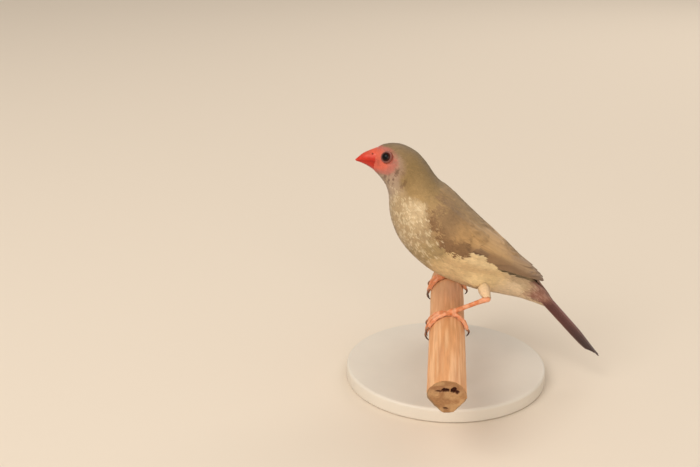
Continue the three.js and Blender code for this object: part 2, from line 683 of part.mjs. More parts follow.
const model = new THREE.Group();
model.add(
  bird,
  toMesh('stand_base', baseForm(), 'base'),
);
bird.add(
  toMesh('stand_rod_near', rodForm(-ROD_SPACING / 2), 'rod'),
  toMesh('stand_rod_far', rodForm(ROD_SPACING / 2), 'rod'),
);
export default model;
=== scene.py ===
"""The looks of a life-size star finch on a cut length of perch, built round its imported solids.

Sizes are millimetres, turned into metres where a mesh is made. A place on the body is counted in
sections from the tip of the bill. A turn is an angle round the section: 0 is the bird's left side,
90 degrees the back, 180 its right side and -90 the belly. The bird faces -X, its left side is
towards -Y, and the perch runs along Y.
"""
import math

import bpy
import numpy as np
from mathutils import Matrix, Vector, kdtree


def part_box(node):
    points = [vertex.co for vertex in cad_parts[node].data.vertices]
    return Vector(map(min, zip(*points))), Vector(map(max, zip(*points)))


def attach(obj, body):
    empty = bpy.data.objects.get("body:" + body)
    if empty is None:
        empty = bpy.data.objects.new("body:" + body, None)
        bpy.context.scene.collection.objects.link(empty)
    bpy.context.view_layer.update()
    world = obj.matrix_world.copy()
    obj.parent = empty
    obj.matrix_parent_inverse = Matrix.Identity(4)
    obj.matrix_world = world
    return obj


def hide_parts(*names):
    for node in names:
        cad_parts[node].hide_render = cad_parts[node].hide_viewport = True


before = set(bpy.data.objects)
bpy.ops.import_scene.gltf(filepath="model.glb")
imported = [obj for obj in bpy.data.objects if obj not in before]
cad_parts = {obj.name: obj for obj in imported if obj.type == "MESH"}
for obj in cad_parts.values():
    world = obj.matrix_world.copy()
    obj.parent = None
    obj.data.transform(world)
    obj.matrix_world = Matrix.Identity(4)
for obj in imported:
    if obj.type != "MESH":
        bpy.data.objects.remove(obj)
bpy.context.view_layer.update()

MM = 0.001
PERCH_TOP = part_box("perch")[1].z / MM

# The body's sections, the same as the solids': name, back [x, z], front [x, z], half width, where
# along the section it is widest, and how square it is
BODY = [
    ("bill_tip", -33.2, 49.5, -33.1, 49.0, 0.25, 0.5, 2.0),
    ("bill_front", -30.6, 51.6, -30.8, 48.3, 1.45, 0.5, 2.0),
    ("bill_middle", -28.0, 52.9, -28.6, 47.2, 2.5, 0.5, 2.0),
    ("bill_base", -25.8, 53.8, -26.8, 46.0, 3.4, 0.5, 2.0),
    ("lores", -23.4, 54.9, -25.0, 44.3, 4.8, 0.48, 2.1),
    ("eye", -20.0, 55.3, -23.4, 42.4, 6.2, 0.46, 2.2),
    ("crown", -16.4, 54.7, -22.2, 40.2, 7.1, 0.46, 2.2),
    ("nape", -12.6, 52.6, -21.5, 37.4, 7.8, 0.47, 2.2),
    ("neck_top", -9.3, 49.0, -21.3, 34.0, 8.6, 0.48, 2.2),
    ("neck_base", -6.2, 44.6, -20.9, 30.4, 9.8, 0.5, 2.2),
    ("shoulder", -2.9, 40.9, -19.8, 26.6, 11.3, 0.5, 2.2),
    ("breast", 1.1, 37.0, -17.6, 22.0, 12.5, 0.5, 2.25),
    ("mid_breast", 5.3, 32.7, -14.3, 17.7, 13.1, 0.5, 2.25),
    ("belly", 9.8, 28.4, -10.1, 13.7, 13.1, 0.5, 2.25),
    ("low_belly", 14.2, 24.3, -4.9, 9.9, 12.3, 0.5, 2.25),
    ("flank", 18.7, 20.1, 2.1, 6.6, 10.7, 0.5, 2.2),
    ("vent", 23.0, 15.9, 9.6, 3.9, 8.7, 0.5, 2.2),
    ("rump", 27.2, 11.8, 17.4, 2.2, 6.5, 0.5, 2.1),
    ("covert_base", 31.2, 7.6, 24.4, 0.8, 4.8, 0.5, 2.1),
    ("covert_middle", 34.5, 3.6, 30.0, -1.0, 3.6, 0.5, 2.0),
    ("covert_tip", 37.4, -0.6, 34.9, -2.8, 2.3, 0.5, 2.0),
]
COLUMNS = np.array([section[1:] for section in BODY]).T
LAST = len(BODY) - 1
FEATHERS_FROM = 3.05

# How deep the coat is over the skin, and how long its feathers are, section by section
COAT_DEPTH = np.array([0, 0, 0, 0.25, 0.4, 0.5, 0.6, 0.75, 0.9, 1, 1.1, 1.2, 1.2, 1.2, 1.2, 1.1, 1,
                       0.9, 0.8, 0.7, 0.6])
FEATHER_LENGTH = np.array([0.8, 0.8, 0.8, 0.85, 1.1, 1.5, 1.9, 2.3, 2.8, 3.2, 3.7, 4.1, 4.4, 4.7, 4.9,
                           5.0, 4.9, 4.6, 4.2, 3.8, 3.4])
EXPOSED_SHARE = 0.27
WIDTH_SHARE = 0.31

# The mouth and the nostrils, as the solids have them
MOUTH_LINE = np.array([[-36, 49.15], [-30, 49.6], [-27.2, 50.0], [-22, 48.6]])
NOSTRIL = {"at": (-27.0, 1.95, 52.1), "radius": 0.42, "depth": 0.3}

# Legs, as [x, distance from the middle, z] above the perch's top. The thigh's radii run from the knee
# to a share of the way to the ankle.
KNEE = (11.2, 8.0, 9.2)
ANKLE = (13.5, 13.0, 4.6)
TOE_JOINT = (1.4, 17.6, 1.25)
THIGH_RADII = (0.9, 1.7, 2.1, 1.8, 1.3)
THIGH_ENDS = 0.93
TARSUS_RADIUS = 0.85
PERCH_RADIUS = 6.15
PERCH_NEAR_END = -65
PERCH_FAR_END = 31
PERCH_END_LEAN = 10

SEED = 7
SIDES = {1: "left", -1: "right"}


def lerp(a, b, share):
    return a + (b - a) * share


def smooth(low, high, value):
    """0 below low, 1 above high, and a smooth step between them."""
    share = np.clip((value - low) / (high - low), 0, 1)
    return share * share * (3 - 2 * share)


def between(value, a, b, c, d):
    """Rises from 0 at a to 1 at b, and falls from 1 at c to 0 at d."""
    return smooth(a, b, value) * smooth(d, c, value)


def hump(value, width, middle=0):
    """A smooth bell, 1 at its middle."""
    return np.exp(-((value - middle) / width) ** 2)


def table(rows, place):
    return np.interp(place, rows[:, 0], rows[:, 1])


def dot(a, b):
    return np.sum(a * b, -1)


def unit(vectors):
    return vectors / np.linalg.norm(vectors, axis=-1, keepdims=True)


def grid(a, b):
    return np.meshgrid(a, b, indexing="ij")


def circle(count, start=0.0):
    """Turns all the way round from start."""
    return np.linspace(start, start + 2 * math.pi, count, endpoint=False)


def round_about(across, up, radius, turn):
    """Steps out from the middle of a circle, to the given turns."""
    return across * (radius * np.cos(turn))[..., None] + up * (radius * np.sin(turn))[..., None]


def along(values, place):
    """Catmull-Rom value of a list at fractional places."""
    last = len(values) - 1
    t = np.clip(place, 0, last)
    i = np.minimum(np.floor(t).astype(int), last - 1)
    f = t - i
    p0, p1, p2, p3 = (values[k] for k in (np.maximum(i - 1, 0), i, i + 1, np.minimum(i + 2, last)))
    linear = (p2 - p0) * f
    square = (2 * p0 - 5 * p1 + 4 * p2 - p3) * f * f
    cubic = (3 * p1 - p0 - 3 * p2 + p3) * f * f * f
    return 0.5 * (2 * p1 + linear + square + cubic)


def body(place, turn, lift=0.0):
    """Points of the body's surface raised by lift, at places in sections and turns in radians."""
    place, turn, lift = np.broadcast_arrays(place, turn, lift)
    back_x, back_z, front_x, front_z, half, widest, square = (along(c, place) for c in COLUMNS)
    centre_x = lerp(back_x, front_x, widest)
    centre_z = lerp(back_z, front_z, widest)
    up = np.sin(turn)
    across = np.cos(turn)
    arm_x = np.where(up > 0, back_x, front_x) - centre_x
    arm_z = np.where(up > 0, back_z, front_z) - centre_z
    arm = np.hypot(arm_x, arm_z)
    power = 2 / square
    reach = (arm + lift) * np.abs(up) ** power / arm
    width = (half + lift) * np.sign(across) * np.abs(across) ** power
    return np.stack([centre_x + arm_x * reach, -width, centre_z + arm_z * reach + PERCH_TOP], -1)


def height_on_side(turn):
    """Degrees above the widest line of either side: 90 on the back, -90 on the belly."""
    return np.degrees(np.arcsin(np.clip(np.sin(turn), -1, 1)))


def leg_point(at, side, top=PERCH_TOP):
    """A point of either leg, from [x, distance from the middle, z] above the perch's top."""
    return np.array([at[0], -side * at[1], at[2] + top])


# Smooth noise, 0 to 1, from a seeded lattice of random numbers
LATTICE = np.random.default_rng(SEED).random((24, 24, 24))


def noise_at(points, spacing):
    scaled = points / spacing
    low = np.floor(scaled).astype(int)
    share = scaled - low
    share = share * share * (3 - 2 * share)
    total = 0
    for corner in np.ndindex(2, 2, 2):
        x, y, z = ((low[..., k] + corner[k]) % len(LATTICE) for k in range(3))
        weight = 1
        for k in range(3):
            weight = weight * (share[..., k] if corner[k] else 1 - share[..., k])
        total = total + LATTICE[x, y, z] * weight
    return total


def noise(x, y, z, spacing):
    return noise_at(np.stack(np.broadcast_arrays(x, y, z), -1), spacing)


# Colours

def colour(text):
    """Linear red, green and blue from a hex colour."""
    values = np.array([int(text[k:k + 2], 16) for k in (1, 3, 5)]) / 255
    return np.where(values <= 0.04045, values / 12.92, ((values + 0.055) / 1.055) ** 2.4)


PALETTE = {name: colour(text) for name, text in {
    "face_red": "#d4553d",
    "lore_orange": "#da6a50",
    "cheek_pink": "#b96f5e",
    "ear_buff": "#a98a74",
    "crown": "#8f744f",
    "nape": "#8f7449",
    "neck": "#aa8b5c",
    "mantle": "#a9885c",
    "throat": "#ab9278",
    "streak": "#64432f",
    "breast": "#b1966f",
    "breast_pale": "#cdb38c",
    "breast_olive": "#a88e60",
    "spot": "#efdcb6",
    "belly": "#dfbe88",
    "flank": "#dabb88",
    "flank_pale": "#e4c797",
    "vent": "#dcc09a",
    "rump": "#bb9f7b",
    "covert_pink": "#8a5747",
    "covert_spot": "#bd927c",
    "thigh": "#ebc89d",
    "wing": "#b9915f",
    "wing_bend": "#957652",
    # A dark feather edge, also used as painted shade along the wing's lower edge
    "wing_shade_and_dark_edge": "#7d5c3c",
    "wing_end": "#a98459",
    "wing_fringe": "#bf9968",
    "primary": "#ab875c",
    "primary_edge": "#b79366",
    "wing_tip": "#8f7358",
    "tail": "#753527",
    "tail_end": "#3e1c10",
    "tail_edge": "#a5846f",
    "shaft": "#5a4434",
    "bill": "#c42a10",
    # Painted highlight along the upper half's ridge
    "bill_top_highlight": "#d2583c",
    # The lower half's deeper red, also used as painted shade
    "bill_deep_red_and_shade": "#9a1806",
    "bill_tip": "#c9705c",
    # Painted shade in the nostril's pit
    "nostril_shade": "#5a1a10",
    "pupil": "#050202",
    "iris": "#321006",
    "iris_light": "#52200e",
    "lid": "#7c4034",
    "lid_light": "#a8705e",
    "lores_skin": "#c2614a",
    "foot": "#d4804f",
    "foot_light": "#e6a178",
    "foot_pad": "#e2ac88",
    "claw_base": "#9a6a4c",
    "claw": "#4e3a30",
    "perch": "#dd9d68",
    "perch_light": "#ecb583",
    "perch_dark": "#c98a5e",
    # Painted shade on the perch under the bird
    "perch_shade_under_bird": "#c69268",
    "end_grain": "#9c7048",
    "end_light": "#b48a5e",
    "end_cut": "#8f734c",
    "end_dark": "#8a5c40",
    # Painted shade in the end grain's holes
    "end_hole_shade": "#4e2414",
    "stand": "#d9cfc0",
    "steel": "#b9b6b0",
    "floor": "#e3d5c3",
}.items()}


def mix(a, b, share):
    """Two colours mixed. Each is a value or a name from the palette."""
    a, b = (PALETTE[tone] if isinstance(tone, str) else tone for tone in (a, b))
    share = np.asarray(share)[..., None]
    return a * (1 - share) + b * share


def layers(tone, *coats):
    """A colour with others laid over it one after another, each as [colour, share]."""
    for coat, share in coats:
        tone = mix(tone, coat, share)
    return tone


# Edges on the plumage as [degrees above the side, section] and as [section, degrees above the side]
FACE_EDGE = np.array([[-90, 3.5], [-60, 3.8], [-36, 4.5], [-30, 4.95], [-20, 5.55], [-4, 6.0], [12, 6.0],
                      [29, 5.65], [50, 5.0], [62, 4.5], [70, 4.0], [90, 3.7]])
SPOTS_BELOW = np.array([[6.4, -30], [7.4, -22], [8.4, -8], [9.0, 6], [10, 12], [11.2, 11], [12.6, 6]])
SPOTS_END = np.array([[-90, 13.4], [-50, 13.2], [-9, 13.0], [3, 12.4], [12, 11.6], [30, 11.0]])
BACK_BEGINS = np.array([[5.5, 8], [7, -8], [8.4, -6], [9.2, 12], [9.8, 22], [11, 12], [13, -4], [15, 20],
                        [17, 12], [18.4, -22], [20, -34]])
BACK_BEGINS_AT_WING = 60


def body_tone(place, side, wobble):
    """The plumage's colour without the face and the tail coverts."""
    back = layers(
        "crown",
        ("nape", smooth(5.5, 7.5, place)),
        ("neck", smooth(7.2, 9.2, place) * smooth(80, 10, side)),
        ("mantle", smooth(9.2, 11, place)),
        ("rump", smooth(14.5, 17, place)))
    pale = between(place, 8.6, 9.2, 9.8, 11.2) * smooth(-30, -8, side)
    flank = smooth(12.7, 13.4, place + side * 0.012) * smooth(-62, -22, side) * smooth(17.2, 15.5, place)
    under_wing = smooth(-5, 2, side) * between(place, 13.2, 13.8, 15.2, 15.8)
    front = layers(
        "throat",
        ("breast", smooth(6.8, 8.2, place)),
        ("breast_pale", pale * 0.9),
        ("breast_olive", smooth(11.2, 12.4, place + wobble * 0.4)),
        ("belly", smooth(12.6, 13.8, place + wobble * 0.4)),
        ("flank", flank),
        ("flank_pale", under_wing * 0.6),
        ("vent", smooth(15.8, 17, place)),
        ("wing_bend", smooth(-9, 4, inside_wing(place, side)) * smooth(13, 12.2, place)))
    line = np.where((place > 12) & (place < 16), BACK_BEGINS_AT_WING, table(BACK_BEGINS, place))
    return mix(front, back, smooth(line - 9, line + 9, side + wobble * 7))


def face_tone(tone, place, side, wobble):
    """The red mask, that fades into buff behind and below the eye, and the streaks under it."""
    behind = place - table(FACE_EDGE, side)
    ear = smooth(1.4, 0.2, behind) * between(side, -40, -15, 20, 55)
    tone = layers(
        tone,
        ("ear_buff", ear * 0.8),
        ("cheek_pink", smooth(0.3, -0.4, behind + wobble * 0.3)),
        ("lore_orange", smooth(-0.5, -1.5, behind + wobble * 0.2)),
        ("face_red", smooth(4.1, 3.2, place) * 0.5))
    lores = hump(place, 0.5, 3.6) * hump(side, 18)
    grain = noise(place * 2.2, side * 0.035, 0, 0.55)
    streak = between(behind, -0.3, 0.3, 1.2, 2.2) * between(side, -60, -35, 0, 16)
    return mix(tone * (1 - 0.28 * lores[..., None]), "streak", streak * smooth(0.5, 0.66, grain) * 0.7)


def markings(place, turn):
    """The plumage's colour and how strongly it is spotted, at places and turns on the body."""
    side = height_on_side(turn)
    wobble = (noise_at(body(place, turn), 3.2) - 0.5) * 2
    red = smooth(17.5, 18.5, place) * smooth(-34, -14, side)
    tone = mix(body_tone(place, side, wobble), "covert_pink", red * 0.9)
    spots = smooth(6.2, 7.2, place) * smooth(0.3, -0.4, place - table(SPOTS_END, side))
    spots = np.maximum(spots * smooth(5, -5, side - table(SPOTS_BELOW, place)), red)
    return face_tone(tone, place, side, wobble), spots, mix("spot", "covert_spot", red)


# Meshes

def mesh_piece(name, points, faces, material, paint=None, maps=()):
    """A mesh object from points in millimetres and lists of faces of three or four corners."""
    mesh = bpy.data.meshes.new(name)
    mesh.vertices.add(len(points))
    mesh.vertices.foreach_set("co", (np.asarray(points) * MM).astype(np.float32).ravel())
    corners = np.concatenate([f.ravel() for f in faces]).astype(np.int32)
    sizes = np.concatenate([np.full(len(f), f.shape[1]) for f in faces])
    starts = np.concatenate([[0], np.cumsum(sizes)[:-1]]).astype(np.int32)
    mesh.loops.add(len(corners))
    mesh.loops.foreach_set("vertex_index", corners)
    mesh.polygons.add(len(sizes))
    mesh.polygons.foreach_set("loop_start", starts)
    mesh.update(calc_edges=True)
    mesh.shade_smooth()
    for map_name, values in dict(maps).items():
        layer = mesh.uv_layers.new(name=map_name)
        layer.uv.foreach_set("vector", values[corners].astype(np.float32).ravel())
    if paint is not None:
        set_paint(mesh, paint)
    mesh.materials.append(material)
    piece = bpy.data.objects.new(name, mesh)
    bpy.context.scene.collection.objects.link(piece)
    return piece


def set_paint(mesh, paint):
    """Stores a colour for each vertex of a mesh."""
    rgba = np.ones((len(mesh.vertices), 4), np.float32)
    rgba[:, :3] = paint
    attribute = mesh.color_attributes.new(name="markings", type="FLOAT_COLOR", domain="POINT")
    attribute.data.foreach_set("color", rgba.ravel())


def hand_over(piece, slot, *nodes):
    """The piece rides with the bird and stands for the solids it covers. The slot is not used."""
    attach(piece, "root")
    if nodes:
        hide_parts(*nodes)


def ring_faces(rows, columns, looped=False):
    """Quads between rings of points stored ring by ring. Looped, the last ring joins the first."""
    i, j = grid(np.arange(rows if looped else rows - 1), np.arange(columns))
    k, m = (i + 1) % rows, (j + 1) % columns
    corners = [i * columns + j, i * columns + m, k * columns + m, k * columns + j]
    return np.stack(corners, -1).reshape(-1, 4)


def tube(rings):
    """Points and faces of a closed form through rings of equal size, capped with fans."""
    rows, columns = rings.shape[:2]
    points = np.concatenate([rings.reshape(-1, 3), rings[:1].mean(1), rings[-1:].mean(1)])
    j = np.arange(columns)
    k = (j + 1) % columns
    start = (rows - 1) * columns
    first = np.stack([np.full(columns, rows * columns), k, j], -1)
    last = np.stack([np.full(columns, rows * columns + 1), start + j, start + k], -1)
    return points, [ring_faces(rows, columns), first, last]


def tube_tones(tones):
    """A tube's colours, from those of its rings."""
    tones = np.asarray(tones).reshape(-1, 3)
    return np.concatenate([tones, tones[:1], tones[-1:]])


def outward(points, faces):
    """The same closed forms, their faces turned round if they look inwards."""
    volume = 0
    for group in faces:
        first = points[group[:, 0]]
        for k in range(1, group.shape[1] - 1):
            volume += np.sum(first * np.cross(points[group[:, k]], points[group[:, k + 1]]))
    return points, faces if volume > 0 else [group[:, ::-1] for group in faces]


def joined(forms):
    """One list of points and one of faces from several forms."""
    starts = np.cumsum([0] + [len(points) for points, _ in forms])
    faces = [group + start for (_, groups), start in zip(forms, starts) for group in groups]
    return np.concatenate([points for points, _ in forms]), faces


def sweep(path, radius, sides, facing, relief=None):
    """A tube round a path. facing is where each ring's first point looks, and relief gives millimetres
    from the turn round the ring and the way along the path."""
    tangent = unit(np.gradient(path, axis=0))
    steps = np.linalg.norm(np.diff(path, axis=0), axis=1)
    reach = np.concatenate([[0], np.cumsum(steps)])
    normal = unit(facing - dot(facing, tangent)[:, None] * tangent)
    turn = circle(sides)
    size = radius[:, None] + (relief(turn[None], reach[:, None]) if relief else 0)
    beside = np.cross(tangent, normal)
    return outward(*tube(path[:, None] + round_about(normal[:, None], beside[:, None], size, turn)))


def one_surface(name, forms, material, voxel):
    """One skin round forms that overlap."""
    piece = mesh_piece(name, *joined(forms), material)
    remesh = piece.modifiers.new("one_surface", "REMESH")
    remesh.mode = "VOXEL"
    remesh.voxel_size = voxel * MM
    remesh.use_smooth_shade = True
    graph = bpy.context.evaluated_depsgraph_get()
    final = bpy.data.meshes.new_from_object(piece.evaluated_get(graph))
    old = piece.data
    piece.modifiers.clear()
    piece.data = final
    bpy.data.meshes.remove(old)
    return piece


# Materials

class Look:
    """A material and the nodes it is made of."""

    def __init__(self, name, **settings):
        """The settings are constant inputs of the shader, with _ for a space."""
        self.material = bpy.data.materials.new(name)
        self.material.use_nodes = True
        self.tree = self.material.node_tree
        self.shader = self.tree.nodes["Principled BSDF"]
        for key, value in settings.items():
            self.shader.inputs[key.replace("_", " ")].default_value = value

    def node(self, kind, inputs=(), **settings):
        """The outputs of a new node, whose inputs are values or the sockets that feed them."""
        made = self.tree.nodes.new(kind)
        for key, value in settings.items():
            setattr(made, key, value)
        for key, value in dict(inputs).items():
            if isinstance(value, bpy.types.NodeSocket):
                self.tree.links.new(value, made.inputs[key])
            else:
                made.inputs[key].default_value = value
        return made.outputs

    def feed(self, key, socket):
        self.tree.links.new(socket, self.shader.inputs[key])

    def math(self, operation, a, b=0.0):
        return self.node("ShaderNodeMath", {0: a, 1: b}, operation=operation)[0]

    def ranged(self, value, to_low, to_high, low=0.3, high=0.7):
        """A value between low and high, as most of a noise is, brought into another range."""
        inputs = {"Value": value, "From Min": low, "From Max": high, "To Min": to_low, "To Max": to_high}
        return self.node("ShaderNodeMapRange", inputs)["Result"]

    def noise(self, scale, detail=3.0, stretch=(1, 1, 1), roughness=0.5):
        place = self.node("ShaderNodeTexCoord")["Object"]
        mapping = self.node("ShaderNodeMapping", {"Vector": place, "Scale": stretch})
        inputs = {"Vector": mapping[0], "Scale": scale, "Detail": detail, "Roughness": roughness}
        return self.node("ShaderNodeTexNoise", inputs)["Fac"]

    def bump(self, height, strength, distance):
        inputs = {"Height": height, "Strength": strength, "Distance": distance}
        self.feed("Normal", self.node("ShaderNodeBump", inputs)["Normal"])

    def paint(self, shade, other=None, base=None):
        """Colours the shader with the mesh's markings, or else a plain base, times one or two shades."""
        if base is None:
            base = self.node("ShaderNodeVertexColor", layer_name="markings")["Color"]
        if other is not None:
            shade = self.math("MULTIPLY", shade, other)
        grey = self.node("ShaderNodeCombineXYZ", {0: shade, 1: shade, 2: shade})[0]
        tinted = self.node("ShaderNodeVectorMath", {0: base, 1: grey}, operation="MULTIPLY")[0]
        self.feed("Base Color", tinted)


# Waves of the ridges in a step of the vane map, and the steps that one feather of each kind is long
RIDGES = 34.0
VANE_STEPS = {"coat": 6.0, "wing": 14.0, "tail": 18.0}


def feather_material(name, roughness, variation):
    """A soft sheen, and fine ridges that slant from each feather's shaft to its edges."""
    look = Look(name, Roughness=roughness, Specular_IOR_Level=0.25, Sheen_Weight=0.15,
                Sheen_Roughness=0.6)
    vane = look.node("ShaderNodeSeparateXYZ", {0: look.node("ShaderNodeUVMap", uv_map="vane")["UV"]})
    slant = look.math("SUBTRACT", vane["Y"], look.math("ABSOLUTE", vane["X"]))
    ridges = look.math("SINE", look.math("MULTIPLY", slant, RIDGES))
    cloud = look.ranged(look.noise(700.0), 1 - variation, 1 + variation, 0.25, 0.75)
    # Painted shade in the grooves between the ridges, and a little painted light on their crests
    look.paint(cloud, look.ranged(ridges, 0.93, 1.04, -1, 1))
    look.bump(ridges, 0.25, 0.00004)
    return look.material


def skin_material():
    look = Look("under_plumage", Roughness=0.9, Specular_IOR_Level=0.2)
    look.paint(look.ranged(look.noise(1500.0), 0.8, 1.0))
    look.bump(look.noise(2500.0), 0.4, 0.0001)
    return look.material


# Skin

def thigh(side):
    """The surface of a thigh: place runs from 0 at the knee to 1 at the ankle."""
    knee = leg_point(KNEE, side)
    ankle = leg_point(ANKLE, side)
    ahead = unit(ankle - knee)
    across = unit(np.cross(ahead, (1, 0, 0)))
    up = np.cross(across, ahead)
    radii = np.array(THIGH_RADII)

    def surface(place, turn, lift=0.0):
        place, turn, lift = np.broadcast_arrays(place, turn, lift)
        radius = along(radii, place * (len(radii) - 1)) + lift
        centre = knee + (ankle - knee) * place[..., None] * THIGH_ENDS
        return centre + round_about(across, up, radius, turn)

    return surface


# The folded wing's lower and upper edges as [section, degrees], and its ends. Where the upper edge is
# above WINGS_MEET, it lies beyond the middle of the back. A section counts as SECTION_DEGREES.
WING_LOW = np.array([[9.9, 26], [10.3, 13], [11.4, 5], [12.4, 1], [13.2, 3], [14, 9], [14.9, 17],
                     [15.4, 23], [15.9, 29], [16.3, 30], [16.9, 37], [17.4, 48], [17.9, 61], [18.3, 75]])
WING_HIGH = np.array([[9.9, 32], [10.4, 55], [12.8, 68], [14, 76], [15, 88], [18.4, 90]])
WING_ENDS = (9.9, 18.4)
WINGS_MEET = 87
BEYOND_BACK = 200
SECTION_DEGREES = 18

# How high the wing's feathers stand over the body, inside and at its edge, the bump over the knee, how
# high the middle of the back stands as [section, mm], and how much lower all lie over it
WING_HEIGHT = 1.9
WING_EDGE_HEIGHT = 1.45
KNEE_BUMP = {"place": 15.5, "side": -23, "height": 2.1, "long": 0.5, "wide": 14}
BACK_HEIGHT = np.array([[6.5, 0.05], [7.4, 0.3], [8.5, 0.45], [9.1, 0.3], [9.7, 0.35], [10.1, 0.7],
                        [10.6, 0.9], [12, 1.05], [14, 1.15], [17, 0.4], [18.5, 0]])
BACK_THINS = 0.28


def inside_wing(place, side):
    """How many degrees a place lies inside the folded wing, less than 0 outside it."""
    high = table(WING_HIGH, place)
    high = np.where(high > WINGS_MEET, BEYOND_BACK, high)
    ends = np.minimum(place - WING_ENDS[0], WING_ENDS[1] - place) * SECTION_DEGREES
    return np.minimum(np.minimum(side - table(WING_LOW, place), high - side), ends)


def over_back(turn):
    """What is left of a wing feather's height towards the back."""
    return 1 - BACK_THINS * smooth(0.64, 0.966, np.sin(turn))


def coat_height(place, turn):
    """How high the small feathers lie over the body: they flow up over the edges of the wings."""
    side = height_on_side(turn)
    back = table(BACK_HEIGHT, place) * smooth(20, 70, side)
    inside = inside_wing(place, side)
    wing = lerp(WING_EDGE_HEIGHT, WING_HEIGHT, smooth(2, 14, inside)) * smooth(-22, -1, inside)
    wing = wing * between(place, 9.3, 11.3, 16.8, 18.3) * over_back(turn)
    knee = KNEE_BUMP["height"] * hump(place, KNEE_BUMP["long"], KNEE_BUMP["place"])
    return np.maximum(np.maximum(back, wing), knee * hump(side, KNEE_BUMP["wide"], KNEE_BUMP["side"]))


def coat_surface(place, turn, lift=0.0):
    return body(place, turn, coat_height(place, turn) + lift)


SKIN_VOXEL = 0.32


def skin_piece(material):
    """One skin for head, neck, body, thighs and the arms under the wings."""
    place, turn = grid(np.linspace(FEATHERS_FROM, LAST, 190), circle(128, -math.pi))
    under_wing = smooth(0, 9, inside_wing(place, height_on_side(turn))) * smooth(18, 16.5, place)
    rings = body(place, turn, -along(COAT_DEPTH, place) * (1 - under_wing) + 0.25 * under_wing)
    thigh_places = grid(np.linspace(0, 1, 24), circle(32))
    forms = [tube(rings)] + [tube(thigh(side)(*thigh_places, -0.45)) for side in SIDES]
    skin = one_surface("skin", forms, material, SKIN_VOXEL)
    paint_from_body(skin, place, turn, rings)
    return skin


def paint_from_body(skin, place, turn, rings):
    """Colours each vertex of the skin as the body is marked at the nearest point of its sections."""
    tree = kdtree.KDTree(place.size)
    for index, point in enumerate(rings.reshape(-1, 3) * MM):
        tree.insert(point, index)
    tree.balance()
    nearest = [tree.find(v.co)[1] for v in skin.data.vertices]
    set_paint(skin.data, markings(place.ravel()[nearest], turn.ravel()[nearest])[0])


# Feathers

def vane_template(stops, columns):
    """The grid of one broad feather: both faces share its rim, and each vertex knows its s and u."""
    rows, width = len(stops), len(columns)
    s, u = grid(stops, columns)
    top = np.arange(rows * width).reshape(rows, width)
    bottom = top.copy()
    inner = (rows - 2) * (width - 2)
    bottom[1:-1, 1:-1] = rows * width + np.arange(inner).reshape(rows - 2, width - 2)
    rim = np.ones((rows, width), bool)
    rim[1:-1, 1:-1] = False
    quads = []
    for i in range(rows - 1):
        for j in range(width - 1):
            quads.append([top[i, j], top[i, j + 1], top[i + 1, j + 1], top[i + 1, j]])
            quads.append([bottom[i, j], bottom[i + 1, j], bottom[i + 1, j + 1], bottom[i, j + 1]])
    return {
        "s": np.concatenate([s.ravel(), s[1:-1, 1:-1].ravel()]),
        "u": np.concatenate([u.ravel(), u[1:-1, 1:-1].ravel()]),
        "under": np.concatenate([np.zeros(rows * width), np.ones(inner)]),
        "rim": np.concatenate([rim.ravel(), np.zeros(inner, bool)]),
        "quads": np.array(quads),
        "triangles": np.zeros((0, 3), int),
    }


# Small feathers: the share of a barb's length from which it tapers, the depth of its keel in
# millimetres, how many times deeper it is at the root, how far the barbs spread there, and how far
# the shading rounds a feather and its barbs
BARB_TAPERS = 0.8
KEEL_DEPTH = 0.06
KEEL_AT_ROOT = 4
ROOT_SPREAD = 0.3
TUFT_ROUNDING = 0.3
BARB_ROUNDING = 0.12


def tuft_template(barbs, blade):
    """A small soft feather: a fan of tapered barbs, each a closed three-sided blade."""
    s, u, under, leans, barb, quads, triangles = [], [], [], [], [], [], []
    for number, v in enumerate(np.linspace(-1, 1, barbs)):
        a = len(s)
        for share, width, deep in ((0.0, 0.7, KEEL_AT_ROOT), (BARB_TAPERS, 1.0, 1)):
            middle = v * lerp(ROOT_SPREAD, 1, share ** 0.8)
            s += [share * (1 - 0.22 * v * v)] * 3
            u += [middle - blade * width, middle + blade * width, middle]
            under += [0, 0, deep]
        s.append(1 - 0.3 * v * v)
        u.append(v * 1.02)
        under.append(0.3)
        leans += [-1, 1, 0, -1, 1, 0, 0]
        barb += [number] * 7
        quads += [[a, a + 1, a + 4, a + 3], [a + 1, a + 2, a + 5, a + 4], [a + 2, a, a + 3, a + 5]]
        triangles += [[a + 3, a + 4, a + 6], [a + 4, a + 5, a + 6], [a + 5, a + 3, a + 6],
                      [a, a + 2, a + 1]]
    made = {"s": s, "u": u, "under": under, "leans": leans, "barb": barb, "quads": quads,
            "triangles": triangles}
    return {key: np.array(values) for key, values in made.items()}


